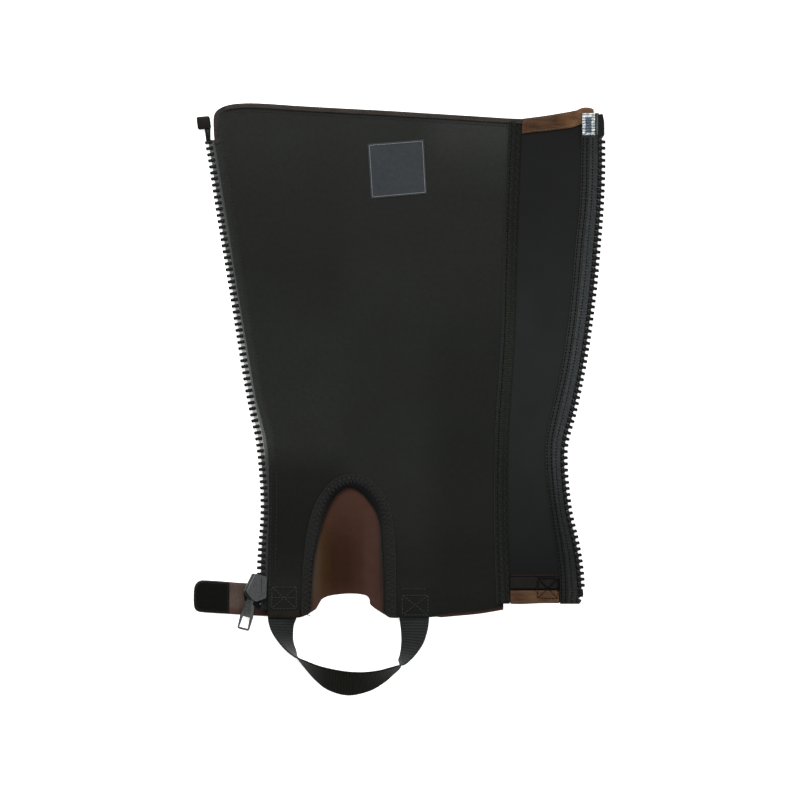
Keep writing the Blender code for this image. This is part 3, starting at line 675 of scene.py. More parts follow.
def cloth_material(name, colour, weave, bump_depth=0.12, sheen=0.06, contrast=0.25, roughness=0.85, tints=(),
                   edge_tint=None, beside=()):
    """Napped cloth with a fine diamond weave. Its tints, painted light and shade, change over the panel and
    near a marked edge.
    """
    paint = Paint(name, Roughness=roughness, Specular_IOR_Level=0.06, Sheen_Weight=sheen,
                  Sheen_Roughness=0.45)
    first, second = (paint.bands(weave * MM, turn, distortion=0.3) for turn in (45.0, -45.0))
    fibre = paint.total((paint.math("MULTIPLY", first, second), 0.6), (paint.speckle(0.5 * MM, 3.0), 0.7))
    dark, light = scaled(colour, 1 - contrast), scaled(colour, 1 + contrast)
    weave_colour = paint.shade(fibre, (0.25, dark), (0.85, light))
    clouds = paint.shade(paint.speckle(60 * MM, 2.0), (0.3, (0.95, 0.93, 0.96)), (0.7, (1.04, 1.06, 1.03)))
    rubs = paint.shade(paint.speckle(3.4 * MM, 3.0, 0.6), (0.3, 0.9), (0.7, 1.1))
    tinted = paint.tinted(paint.times(weave_colour, paint.times(clouds, rubs)), tints)
    if beside:
        tinted = paint.times(tinted, paint.beside(*beside))
    if edge_tint:
        near = paint.add("Attribute", {}, attribute_name="near")["Fac"]
        tinted = paint.times(tinted, paint.shade(near, (0.0, 1.0), (1.0, edge_tint)))
    paint.set(Base_Color=tinted, Normal=paint.bump(fibre, bump_depth, 0.7))
    return paint.material


def leather_material(name, dark, light, grain=1.1, roughness=0.5, gloss=0.02, across=(), tints=(),
                     shine=0.12):
    """Smooth leather with a pebbled grain, creases and patchy wax, tinted across and down the leg."""
    paint = Paint(name, Coat_Weight=gloss, Coat_Roughness=0.4, Specular_IOR_Level=shine)
    pebbles = paint.cells(grain * MM)
    pores = paint.speckle(0.45 * MM, 3.0, 0.7)
    patches = paint.speckle(14 * MM, 5.0, 0.6)
    creases = paint.cells(7.5 * grain * MM, "DISTANCE_TO_EDGE")
    colour = paint.shade(paint.total((patches, 0.75), (pebbles, 0.3)), (0.3, dark), (0.75, light))
    fine = paint.bump(paint.total((pebbles, -0.8), (pores, 0.35)), 0.16, 0.55)
    ridge = paint.add("MapRange", {"Value": creases, "From Max": 0.05})["Result"]
    paint.set(Base_Color=paint.tinted(colour, tints, across),
              Roughness=paint.level(patches, roughness - 0.1, roughness + 0.12),
              Normal=paint.bump(ridge, 0.05, 0.35, fine))
    return paint.material


def streaked_leather(name, dark, light, tints=(), across=()):
    """Thin tan leather with streaks along its fold. Its tints change down and across the leg."""
    paint = Paint(name, Specular_IOR_Level=0.07)
    along = paint.add("Mapping", {"Vector": paint.place, "Scale": (0.2, 1.0, 1.0)})["Vector"]
    streaks = paint.speckle(2.2 * MM, 4.0, 0.6, along)
    pebbles = paint.cells(0.8 * MM)
    patches = paint.speckle(15 * MM, 3.0, 0.5)
    tone = paint.total((streaks, 0.55), (patches, 0.4), (pebbles, 0.1))
    colour = paint.shade(tone, (0.32, dark), (0.72, light))
    paint.set(Base_Color=paint.tinted(colour, tints, across), Roughness=paint.level(patches, 0.4, 0.6),
              Normal=paint.bump(paint.math("SUBTRACT", streaks, pebbles), 0.15, 0.5))
    return paint.material


ARCH_CHANNEL_SHADE = (
    # x and colour across the arch: painted shade in the middle of the channel, painted light on its flanks
    (-77.0, (0.041, 0.026, 0.0175)), (-72.0, (0.04, 0.0255, 0.017)), (-68.0, (0.035, 0.0207, 0.0114)),
    (-66.0, (0.0315, 0.0155, 0.0062)), (-64.0, (0.0262, 0.011, 0.0034)), (-61.0, (0.022, 0.0092, 0.0024)),
    (-56.0, (0.018, 0.0066, 0.0025)), (-44.0, (0.0182, 0.0068, 0.0032)), (-38.0, (0.0225, 0.0092, 0.0052)),
    (-33.0, (0.0255, 0.0111, 0.0068)), (-28.0, (0.0355, 0.0165, 0.0117)), (-22.0, (0.0385, 0.0175, 0.013)),
    (-18.5, (0.035, 0.017, 0.0138)), (-16.0, (0.024, 0.0138, 0.0115)), (-9.0, (0.024, 0.0138, 0.0115)),
)
ARCH_APEX = (0.0395, 0.0178, 0.012)
ARCH_FOOT = (0.043, 0.0195, 0.0135)


def arch_leather():
    """Inside of the leather in the arch: painted shade deep in the middle of its channel, painted light on
    its flanks, lighter at its apex.
    """
    paint = Paint("leather_inside", Specular_IOR_Level=0.05)
    pebbles = paint.cells(1.0 * MM)
    patches = paint.speckle(9 * MM, 5.0, 0.65)
    colour = paint.over("X", ARCH_CHANNEL_SHADE, ARCH_CHANNEL_SHADE[0][0], ARCH_CHANNEL_SHADE[-1][0])
    rise = paint.span(paint.axis("Y"), -135 * MM, -72 * MM)
    colour = paint.mix(paint.math("MULTIPLY", rise, 0.9), colour, (*ARCH_APEX, 1.0))
    foot = paint.math("SUBTRACT", 1.0, paint.span(paint.axis("Y"), -172 * MM, -150 * MM))
    colour = paint.mix(paint.math("MULTIPLY", foot, 0.6), colour, (*ARCH_FOOT, 1.0))
    tone = paint.total((patches, 0.8), (pebbles, 0.2))
    mottle = paint.shade(tone, (0.3, (0.88, 0.87, 0.86)), (0.7, (1.1, 1.11, 1.12)))
    paint.set(Base_Color=paint.times(colour, mottle), Roughness=paint.level(patches, 0.5, 0.68),
              Normal=paint.bump(paint.total((pebbles, -0.8), (patches, 0.4)), 0.14, 0.5))
    return paint.material


def woven_material(name, dark, light, rib, across_rib, sheen=0.15, tints=(), rub=0.1):
    """Ribbed tape or webbing, with its ribs across the UV's length, tinted down the leg."""
    paint = Paint(name, Roughness=0.75, Specular_IOR_Level=0.07, Sheen_Weight=sheen, Sheen_Roughness=0.4)
    ribs = paint.bands(rib * MM, 0.0, paint.uv, 0.4)
    cords = paint.bands(across_rib * MM, 90.0, paint.uv, 0.4)
    relief = paint.total((ribs, 0.6), (cords, 0.3))
    tone = paint.total((relief, 0.6), (paint.speckle(0.6 * MM, 3.0), 0.45))
    colour = paint.shade(tone, (0.25, dark), (0.8, light))
    rubs = paint.shade(paint.speckle(2.4 * MM, 3.0, 0.65), (0.35, 1 - rub), (0.65, 1 + rub))
    paint.set(Base_Color=paint.tinted(paint.times(colour, rubs), tints), Normal=paint.bump(tone, 0.14, 0.8))
    return paint.material


def elastic_material(name, dark, light, tints):
    """Stretch gusset: fine ribs that run down the leg, palest at mid-height and darker at both ends."""
    paint = Paint(name, Roughness=0.72, Specular_IOR_Level=0.06, Sheen_Weight=0.05, Sheen_Roughness=0.4)
    ribs = paint.bands(1.25 * MM, 1.5, distortion=0.5)
    picks = paint.bands(0.8 * MM, 90.0, distortion=0.4)
    tone = paint.total((ribs, 0.22), (picks, 0.15), (paint.speckle(45 * MM, 2.0), 0.55))
    colour = paint.shade(tone, (0.2, dark), (0.8, light))
    paint.set(Base_Color=paint.tinted(colour, tints), Normal=paint.bump(tone, 0.12, 0.6))
    return paint.material


def thread_material(name, colour, shine=0.12, sheen=0.1):
    paint = Paint(name, Roughness=0.6, Specular_IOR_Level=shine, Sheen_Weight=sheen, Sheen_Roughness=0.4)
    twist = paint.bands(0.45 * MM, 35.0, distortion=0.6)
    tone = paint.shade(twist, (0.1, scaled(colour, 0.6)), (0.8, scaled(colour, 1.15)))
    paint.set(Base_Color=tone, Normal=paint.bump(twist, 0.08, 0.6))
    return paint.material


def hard_material(name, colour, roughness, metallic=0.0, wear=0.3, shine=0.3):
    """Moulded plastic or painted metal with faint mottling and scuffs."""
    paint = Paint(name, Metallic=metallic, Specular_IOR_Level=shine)
    scuffs = paint.speckle(1.6 * MM, 6.0, 0.7)
    tone = paint.shade(scuffs, (0.35, scaled(colour, 1 - wear)), (0.75, scaled(colour, 1 + wear)))
    paint.set(Base_Color=tone, Roughness=paint.level(scuffs, roughness - 0.08, roughness + 0.14),
              Normal=paint.bump(paint.speckle(0.25 * MM, 2.0), 0.02, 0.5))
    return paint.material


# Painted light and shade on the lining, down the leg and in three strips across it: darker towards the foot
# and beside the arch, lighter at the top.
LINING_LIGHT_SHADE_DOWN = (
    (240, 0.95), (150, 0.95), (60, (0.82, 0.84, 0.8)), (-60, (0.84, 0.86, 0.82)), (-100, (0.8, 0.81, 0.77)),
    (-125, (0.67, 0.67, 0.63)), (-160, (0.62, 0.62, 0.58)), (-183, (0.52, 0.52, 0.44)),
)
LINING_LIGHT_SHADE_LEFT = (
    (222, 0.97), (197, 0.85), (168, 0.76), (109, 0.74), (60, 0.97), (21, 1.0), (-8, 1.1), (-38, 1.08),
    (-62, 0.62), (-97, 0.51), (-126, 0.62), (-151, 0.95),
)
LINING_LIGHT_SHADE_MIDDLE = (
    (222, 1.0), (168, 0.84), (138, 0.84), (109, 0.94), (-38, 0.94), (-67, 1.0), (-126, 1.0), (-151, 0.93),
)
LINING_LIGHT_SHADE_RIGHT = (
    (222, 1.5), (197, 1.05), (168, 0.84), (80, 0.93), (50, 0.81), (-8, 0.76), (-38, 0.7), (-67, 0.74),
    (-97, 0.8), (-126, 0.77), (-168, 0.84),
)
LINING_LIGHT_SHADE_BESIDE = (LINING_LIGHT_SHADE_LEFT, (-60.0, -30.0, LINING_LIGHT_SHADE_MIDDLE), (10.0, 45.0, LINING_LIGHT_SHADE_RIGHT))
ELASTIC_TINTS = ((230, 0.55), (130, 0.85), (30, (1.15, 1.25, 1.2)), (-40, (1.05, 1.12, 1.08)), (-160, 0.42))
# Painted sheen on the zip tape and its facing: brightest at mid-height, darker towards both ends.
TAPE_TINTS = (
    (235, (0.7, 0.69, 0.65)), (150, (0.95, 0.95, 0.95)), (60, 1.15), (-50, 0.95), (-90, 0.5),
    (-135, (0.44, 0.43, 0.4)), (-160, (0.6, 0.58, 0.53)),
)
LEFT_TAPE_TINTS = (
    (230, 0.55), (130, 0.55), (60, 0.85), (20, 1.0), (-35, 1.0), (-52, 0.45), (-110, 0.33), (-150, 0.22),
    (-170, 0.09),
)
# How bright the left cord's painted highlight is down the leg.
LEFT_CORD_TINTS = (
    (230, 0.28), (130, 0.3), (60, 0.75), (20, 1.0), (-35, 0.95), (-52, 0.25), (-110, 0.17), (-150, 0.13),
    (-165, 0.05),
)
WELT_TINTS = ((215, 0.55), (150, 0.58), (105, 0.85), (40, 1.0), (-20, 0.85), (-60, 0.64))
FLANGE_TINTS = ((215, 0.68), (150, 0.75), (105, 1.0), (40, 1.6), (-20, 1.2), (-60, 0.7))
CORD_TINTS = ((-150, 1.0), (-163, 0.3))
BAND_TINTS = ((0, 1.0), (200, (0.84, 0.82, 0.8)))
# Painted highlight on the leather bands, growing towards their right ends.
BAND_END_HIGHLIGHT = ((130, 1.0), (143, (1.75, 1.65, 1.5)), (155, (2.2, 2.4, 2.5)))
# Painted highlight where the tab bends, and darker towards its right end.
TAB_ACROSS = ((-150, 1.0), (-143, 1.15), (-136, 1.1), (-125, 0.85), (-118, 0.5))
TAB_TINTS = ((-173, 1.0), (-177, (0.8, 0.56, 0.53)))
LINING = cloth_material("lining_cloth", (0.0132, 0.0139, 0.0128), 1.7, contrast=0.25, tints=LINING_LIGHT_SHADE_DOWN,
                        edge_tint=(1.75, 1.75, 1.78), beside=LINING_LIGHT_SHADE_BESIDE)
TRIM = cloth_material("trim_cloth", (0.0112, 0.0117, 0.0107), 1.2, 0.1, contrast=0.4,
                      edge_tint=(0.2, 0.23, 0.22))
WELT_TAPE = woven_material("welt_tape", (0.0054, 0.0062, 0.0052), (0.0165, 0.0185, 0.0158), 2.1, 1.2,
                           tints=WELT_TINTS)
FLAT_TAPE = cloth_material("flat_tape", (0.0078, 0.0073, 0.0069), 1.0, 0.1)
ELASTIC = elastic_material("gusset_elastic", (0.007, 0.0072, 0.0074), (0.012, 0.0122, 0.0124), ELASTIC_TINTS)
LEATHER = leather_material("leather_brown", (0.0145, 0.0056, 0.0032), (0.033, 0.014, 0.0092))
INSIDE_LEATHER = arch_leather()
TAB_LEATHER = leather_material("leather_tab", (0.03, 0.02, 0.016), (0.07, 0.048, 0.037), across=TAB_ACROSS,
                               tints=TAB_TINTS)
HEM_LEATHER = leather_material("leather_hem", (0.0026, 0.0028, 0.0017), (0.014, 0.0108, 0.007), 1.5, 0.6, 0.0,
                               shine=0.05)
BAND_LEATHER = streaked_leather("leather_tan", (0.019, 0.008, 0.0032), (0.078, 0.041, 0.0205), BAND_TINTS,
                                BAND_END_HIGHLIGHT)
PIPING_LEATHER = streaked_leather("leather_piping", (0.008, 0.004, 0.0025), (0.02, 0.01, 0.006))
EDGE_LEATHER = streaked_leather("leather_edge", (0.0105, 0.0085, 0.007), (0.031, 0.0245, 0.0205))
TURNED_LEATHER = leather_material("leather_turned", (0.005, 0.0042, 0.0043), (0.031, 0.025, 0.0255), 1.0,
                                  0.55, 0.0, shine=0.05)
WELT_FLANGE = woven_material("welt_flange", (0.0034, 0.004, 0.0026), (0.0098, 0.0108, 0.008), 2.1, 1.2,
                             tints=FLANGE_TINTS)
CORD = woven_material("zip_cord", (0.025, 0.029, 0.028), (0.09, 0.1, 0.097), 1.3, 1.1, 0.1,
                      tints=CORD_TINTS, rub=0.35)
WEBBING = woven_material("strap_webbing", (0.0046, 0.0052, 0.0051), (0.0185, 0.0212, 0.021), 2.5, 0.9, 0.1)
# Painted shade: a darker, browner copy of the webbing for the strap's back face.
WEBBING_SHADED_BACK = woven_material("strap_webbing_painted_shade", (0.0019, 0.0018, 0.0011), (0.0072, 0.007, 0.0044), 2.5,
                              0.9, 0.02, rub=0.25)
TAPE = woven_material("zip_tape", (0.0105, 0.012, 0.0128), (0.035, 0.0385, 0.04), 1.3, 1.1, 0.1,
                      tints=TAPE_TINTS, rub=0.28)
FACING = woven_material("tape_facing", (0.007, 0.0078, 0.0076), (0.023, 0.025, 0.0245), 1.5, 1.0, 0.05,
                        tints=TAPE_TINTS, rub=0.2)
LEFT_TAPE = woven_material("zip_tape_left", (0.0345, 0.04, 0.038), (0.115, 0.129, 0.124), 1.3, 1.1, 0.1,
                           tints=LEFT_TAPE_TINTS)
# Painted highlight: the left tape's cord, pale where it catches the light.
LEFT_CORD = woven_material("zip_cord_left_painted_highlight", (0.15, 0.155, 0.15), (0.34, 0.345, 0.335), 1.3, 1.1, 0.1,
                           tints=LEFT_CORD_TINTS, rub=0.25)
PLASTIC = hard_material("zip_plastic", (0.003, 0.0032, 0.0031), 0.42, wear=0.25, shine=0.1)
BOX_FACE = hard_material("zip_box_face", (0.0055, 0.004, 0.0034), 0.5, wear=0.35, shine=0.08)
# Painted glints: pale colour for small domes on the black chain end.
PAINTED_GLINT = hard_material("zip_painted_glint", (0.52, 0.53, 0.5), 0.4)
RECESS = hard_material("zip_pull_recess", (0.026, 0.034, 0.029), 0.55, 0.2, 0.6)
METAL = hard_material("zip_metal", (0.04, 0.043, 0.0432), 0.42, 0.5, 0.45)
METAL_EDGE = hard_material("zip_metal_edge", (0.024, 0.025, 0.024), 0.5, 0.4, 0.25)
THREAD = thread_material("thread_black", (0.013, 0.014, 0.0125))
DEEP_THREAD = thread_material("thread_deep_black", (0.0022, 0.0022, 0.0018), 0.02, 0.0)
PALE_BLACK_THREAD = thread_material("thread_trim", (0.0122, 0.0132, 0.012))
WELT_THREAD = thread_material("thread_welt", (0.0105, 0.0118, 0.0102))
GREY_THREAD = thread_material("thread_grey", (0.0165, 0.018, 0.0162))
SOFT_BLACK_THREAD = thread_material("thread_soft_black", (0.0042, 0.0048, 0.0042), 0.03, 0.0)
BROWN_THREAD = thread_material("thread_brown", (0.015, 0.0085, 0.005), 0.05, 0.0)
EDGE_THREAD = thread_material("thread_edge", (0.04, 0.035, 0.031))
TAN_THREAD = thread_material("thread_tan", (0.08, 0.06, 0.046))
HOOK = cloth_material("hook_nylon", (0.0035, 0.0035, 0.003), 0.9, 0.2, 0.03)
LABEL = cloth_material("label_print", (0.023, 0.0265, 0.0285), 0.7, 0.03, 0.0, 0.1, 0.6)
LABEL_EDGE = cloth_material("label_line", (0.15, 0.16, 0.165), 0.7, 0.03, 0.0, 0.1, 0.6)


FILM_DIM = {"X": 158.2, "half": 2.0, "top": 236.8, "bottom": 224.6, "rim": 1.3}
FILM_RIGHT_X = 163.7


def film_material():
    """Clear welded film: pale at its rims, part milky weld and part painted highlight; dim and bluish over
    the tape, with a few scuffs.
    """
    paint = Paint("clear_film", Roughness=0.14, IOR=1.4)
    haze = paint.speckle(2.6 * MM, 4.0)
    scuffs = paint.speckle(1.1 * MM, 3.0, 0.7)
    aside = paint.math("ABSOLUTE", paint.math("SUBTRACT", paint.axis("X"), FILM_DIM["X"] * MM))
    rim = FILM_DIM["rim"]
    sides = paint.span(aside, FILM_DIM["half"] * MM, (FILM_DIM["half"] + rim) * MM)
    above = paint.span(paint.axis("Y"), FILM_DIM["top"] * MM, (FILM_DIM["top"] + rim) * MM)
    below = paint.span(paint.axis("Y"), (FILM_DIM["bottom"] - rim) * MM, FILM_DIM["bottom"] * MM)
    milky_and_highlight = paint.math("MAXIMUM", sides, paint.math("MAXIMUM", above, paint.math("SUBTRACT", 1.0, below)))
    rims = paint.shade(haze, (0.38, (0.24, 0.27, 0.27)), (0.62, (0.68, 0.72, 0.73)))
    centre = paint.shade(haze, (0.35, (0.045, 0.062, 0.085)), (0.7, (0.09, 0.115, 0.15)))
    dashes = paint.math("MULTIPLY", paint.bands(2.3 * MM, 90.0, distortion=2.0), 0.3)
    worn = paint.shade(paint.math("ADD", dashes, scuffs), (0.53, 0.15), (0.65, 0.92))
    paint.set(Base_Color=paint.times(paint.mix(milky_and_highlight, centre, rims), worn), Normal=paint.bump(haze, 0.1, 0.4))
    return paint.material


FILM = film_material()


# The panel: leather, lining and what is sewn on the lining

leather_loop = outline("shell_main")
lining_loop = outline("lining_main")
lining_top, lining_low = fields("lining_main")


def declare(piece, loop, with_pieces=(), straight=False):
    """Works out a laid sheet's cut, the outline's own box or a straight strip of its length, and keeps
    nothing.
    """
    area = abs(sum(a.cross(b) for a, b in around(loop))) / 2
    width = max(p.x for p in loop) - min(p.x for p in loop)
    length = max(p.y for p in loop) - min(p.y for p in loop)
    if straight:
        half_round = sum((b - a).length for a, b in around(loop)) / 2
        length = (half_round + math.sqrt(half_round ** 2 - 4 * area)) / 2
        width = area / length
    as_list(with_pieces)


def between(loop, start, end):
    """The run of a loop from the point nearest start to the point nearest end, in the loop's order."""
    first = min(range(len(loop)), key=lambda i: (loop[i] - Vector(start)).length)
    last = min(range(len(loop)), key=lambda i: (loop[i] - Vector(end)).length)
    if last < first:
        last += len(loop)
    return [loop[i % len(loop)] for i in range(first, last + 1)]


def side(loop, which, top, bottom, inward=0.0, step=2.0):
    """One side of a loop from top to bottom. Which is 0 for the left side and -1 for the right."""
    count = max(2, int((top - bottom) / step))
    run = []
    for k in range(count + 1):
        y = top + (bottom - top) * k / count
        run.append(Vector((crossings(loop, y)[which], y)))
    return offset_run(run, inward)


LIGHT_EDGE = 8.0
EDGE_LIGHT = (
    # y, share of the full light
    (-60.0, 0.0), (-35.0, 1.0), (120.0, 1.0), (160.0, 0.6),
)
TRIM_SHADE = 10.5
TRIM_DARK = 4.0
BINDING_END = (88.0, 96.0)
BINDING_REACH = 5.4
LINING_TOP_EDGE = ((95.0, 231.0), (-143.0, 242.0))
TOP_LEFT_CORNER = ((-138.0, 243.0), (-156.0, 215.0))
FOOT = ((-112.6, -182.0), (-76.0, -176.0))
BINDING_LOWER = ((-147.0, 243.0), (101.0, 232.0))
TRIM_OUTER = ((-2.9, -182.3), (-82.6, -182.7))
TRIM_INNER = ((-74.8, -178.0), (-14.4, -179.0))
TURNED_PROFILE = (
    # share from the outer edge inwards, height above the lining
    (0.0, -0.5), (0.0, 0.15), (0.06, 0.4), (0.2, 0.55), (0.6, 0.5), (0.9, 0.4), (1.0, 0.15), (1.0, -0.3),
)


def mark_near(piece, run, reach, full=0.0, weight=lambda y: 1.0):
    """Marks each point by its nearness to a plane run: 1 up to full, 0 from reach on, times a weight."""
    tree = KDTree(len(run))
    for i, p in enumerate(run):
        tree.insert((p.x, p.y, 0.0), i)
    tree.balance()
    layer = piece.data.attributes.new("near", "FLOAT", "POINT")
    for vertex in piece.data.vertices:
        away = tree.find((vertex.co.x / MM, vertex.co.y / MM, 0.0))[2]
        part = clamp((reach - away) / (reach - full))
        layer.data[vertex.index].value = part * weight(vertex.co.y / MM)


def edge_light(y):
    """How far the lining's left edge is lit at a place down the leg."""
    return float(np.interp(y, *zip(*EDGE_LIGHT)))


def trim_shade(y):
    """How far the trim is darkened beside the arch at a place down the leg."""
    return 0.3 + 0.7 * clamp((y + 110.0) / 30.0)


def shown_hem(loop):
    """The panel's outline, let out by a hair where its cut edge shows below the lining."""
    shown = []
    for p in loop:
        part = 0.0
        if p.y < -170.0:
            for start, end in HEM_SHOWS:
                part = max(part, min((p.x - start) / 3.0, (end - p.x) / 3.0, 1.0))
        shown.append(Vector((p.x, p.y - HEM_LET_OUT * part)))
    return shown


def build_leather():
    leather = wall("leather_panel", shown_hem(leather_loop), Field("shell_main", 1, wave),
                   Field("shell_main", -1), LEATHER, "shell_main", WIDE_STEP)
    leather.data.materials.append(INSIDE_LEATHER)
    for face in leather.data.polygons:
        if face.normal.z > 0.2:
            face.material_index = 1
    return leather


def build_lining():
    """The lining, the rows sewn along its edges, and the leather turned over it at the top and the foot."""
    top_edge = between(lining_loop, *LINING_TOP_EDGE)
    sewn = (
        # run, groove depth
        (side(lining_loop, 0, 232.0, -150.0, 6.4), 0.35),
        (side(lining_loop, 0, 236.0, -178.0, 1.8), 0.25),
        (offset_run(top_edge, 1.8), 0.5),
        (offset_run(top_edge, 6.8), 0.4),
    )
    lining = wall("lining_sheet", lining_loop, lining_top, lining_low, LINING, "lining_main",
                  grooves=sewn)
    mark_near(lining, side(lining_loop, 0, 236.0, -150.0), LIGHT_EDGE, weight=edge_light)
    rows = [pair for run, depth in sewn for pair in row(run)]
    sewing = threads("stitches_lining_edge", rows, lining_top, THREAD)
    corner = between(lining_loop, *TOP_LEFT_CORNER)
    turned = strip("turned_edge", corner, offset_run(corner, 4.2), lining_top, TURNED_PROFILE,
                   TURNED_LEATHER)
    foot = between(lining_loop, *FOOT)
    hem = strip("turned_hem", foot, offset_run(foot, 5.4), lining_top, TURNED_PROFILE, HEM_LEATHER)
    return lining, sewing, turned, hem


def build_binding():
    loop = []
    for p in outline("top_binding"):
        share = max(p.x - BINDING_END[0], 0.0) / (BINDING_END[1] - BINDING_END[0])
        loop.append(Vector((p.x + share * BINDING_REACH, p.y)))
    top, low = fields("top_binding")
    binding = wall("binding_top", loop, raised(top, 0.35), low, EDGE_LEATHER,
                   "top_binding", 3.0)
    rows = row(offset_run(between(loop, *BINDING_LOWER), 1.1), 3.0)
    sewing = threads("stitches_binding", rows, raised(top, 0.3), EDGE_THREAD, 0.2)
    return binding, sewing


def build_trim(loop):
    top, low = fields("arch_trim")
    top = raised(top, 0.1)
    outer = between(loop, *TRIM_OUTER)
    inner = between(loop, *TRIM_INNER)
    groove = (offset_run(outer, 1.6), 0.3)
    trim = wall("trim_arch", loop, top, low, TRIM, "arch_trim", 2.4, [groove])
    mark_near(trim, inner, TRIM_SHADE, TRIM_DARK, trim_shade)
    rows = row(offset_run(outer, 0.7), 3.0) + zigzag(outer, 1.8, 8.0, 4.4)
    sewing = threads("stitches_trim", rows, top, PALE_BLACK_THREAD, 0.28)
    rows = row(offset_run(inner, 1.3), 3.0)
    return trim, sewing, threads("stitches_arch", rows, top, DEEP_THREAD, 0.24)


def build_label(loop):
    top, low = fields("label_patch")
    label = wall("label_plain", loop, top, low, LABEL, "label_patch", FINE_STEP)
    return label, threads("label_border", around(inset(loop, 1.5)), top, LABEL_EDGE, 0.3)


def build_panel():
    leather = build_leather()
    lining, sewing, turned, hem = build_lining()
    binding = build_binding()
    trim_loop = outline("arch_trim")
    trim, *trim_sewing = build_trim(trim_loop)
    label_loop = outline("label_patch")
    label, border = build_label(label_loop)
    declare(leather, leather_loop, [*binding, turned])
    declare(lining, lining_loop, [sewing, hem])
    declare(trim, trim_loop, trim_sewing, True)
    declare(label, label_loop, [border])


build_panel()

# Seam welt, gusset and its bands

WELT = (
    # across from the seam, height
    (-5.3, 3.35), (-5.4, 3.8), (-5.0, 4.5), (-4.0, 5.05), (-2.6, 5.3), (-1.2, 5.25), (0.0, 4.95),
    (0.8, 4.35),
    (1.3, 3.7), (2.0, 3.45), (3.2, 3.2), (4.6, 3.0), (5.3, 2.7), (5.4, 2.2), (5.2, 1.6), (0.8, 1.6),
    (0.0, 3.3),
)

WELT_UPPER = WELT[1:14]
WELT_FLANGE_PLACES = (8, 13)
WELT_ENDS = (230.8, -171.0)
WELT_TUCK = 3.0
WELT_SEAM = -2.6
WELT_HALF = 5.5
WELT_BESIDE_Z = 3.22
WELT_RIPPLE = 0.12
WELT_RIPPLE_PITCH = 6.2
WELT_UNEVEN = 0.25
WELT_ZIGZAGS = (
    # near side, far side, pitch
    (-4.2, 0.2, 5.0), (2.4, 4.8, 6.4),
)


def build_welt():
    loop = outline("seam_welt", 2.5)
    left = side(loop, 0, *WELT_ENDS, step=2.4)
    right = side(loop, -1, *WELT_ENDS, step=2.4)
    middle = [(a + b) / 2 for a, b in zip(left, right)]
    middle.insert(0, middle[0] + (middle[0] - middle[1]).normalized() * WELT_TUCK)
    rings = []
    for p in middle:
        ripple = WELT_RIPPLE * math.sin(p.y * 2 * math.pi / WELT_RIPPLE_PITCH)
        pucker = ripple + WELT_UNEVEN * noise.noise(Vector((0.3, p.y / 9, 2.0)))
        ring = []
        for across, z in WELT:
            lift = pucker if -4.6 < across < 4.8 and z > 2.9 else 0.0
            ring.append((p.x + across, p.y, z + lift + wave(p.x + across, p.y)))
        rings.append(ring)
    welt = ribbon("welt_seam", rings, WELT_TAPE, "seam_welt")
    second_finish(welt, WELT_FLANGE, len(WELT), *WELT_FLANGE_PLACES)

    def surface(x, y):
        across = x - (crossings(loop, clamp(y, *reversed(WELT_ENDS)))[0] + WELT_HALF)
        return on_profile(WELT_UPPER, across, WELT_BESIDE_Z) + wave(x, y) + 0.08

    pairs = [pair for steps in WELT_ZIGZAGS for pair in zigzag(middle, *steps)]
    sewing = threads("stitches_welt", pairs, surface, WELT_THREAD, 0.24)
    seam_line = row([p + Vector((WELT_SEAM, 0.0)) for p in middle], 3.0, 0.96)
    seam = threads("stitches_welt_seam", seam_line, surface, SOFT_BLACK_THREAD, 0.38, 0.7)
    declare(welt, loop, [sewing, seam], True)


PIPING_PROFILE = (
    # share across, height above the elastic
    (0.0, -0.3), (0.0, 0.3), (0.2, 0.6), (0.5, 0.75), (0.8, 0.6), (1.0, 0.3), (1.0, -0.3),
)


BAND_LOWER = ((102.2, 223.4), (152.0, 231.3))
BAND_UPPER = ((149.0, 243.6), (102.4, 236.2))
BAND_FOLD_Y = -159.0
SWELL_X = 157.0
SWELL_FROM_Y = 240.8
SWELL_WIDTH = 5.0
SWELL_RISE = 1.3
GUSSET_BOX = ((115.5, -149.5), (132.6, -149.5), (132.6, -166.5), (115.5, -166.5))


def level_run(start, end, y):
    """Points 2 mm apart on a line across the leg."""
    return [Vector((x, y)) for x in range(start, end, 2)]


def build_top_band():
    loop = outline("gusset_top_band")
    top, low = flat_heights("gusset_top_band")

    def band_top(x, y):
        """The band is folded over the edge, and its end swells beyond the zip's film."""
        swell = hump(x - SWELL_X, SWELL_WIDTH) * clamp((y - SWELL_FROM_Y) / 1.2)
        fold = 0.5 * hump(y - (232.6 + (x - 121.0) * 0.13), 3.4)
        return top(x, y) + fold + SWELL_RISE * swell

    band = wall("band_top", loop, band_top, low, BAND_LEATHER, "gusset_top_band", FINE_STEP)
    rows = row(offset_run(between(loop, *BAND_LOWER), 1.3), 3.2, 0.92)
    rows += row(offset_run(between(loop, *BAND_UPPER), 1.4), 3.2, 0.82)
    sewing = threads("stitches_band_top", rows, band_top, TAN_THREAD, 0.24)
    declare(band, loop, [sewing])


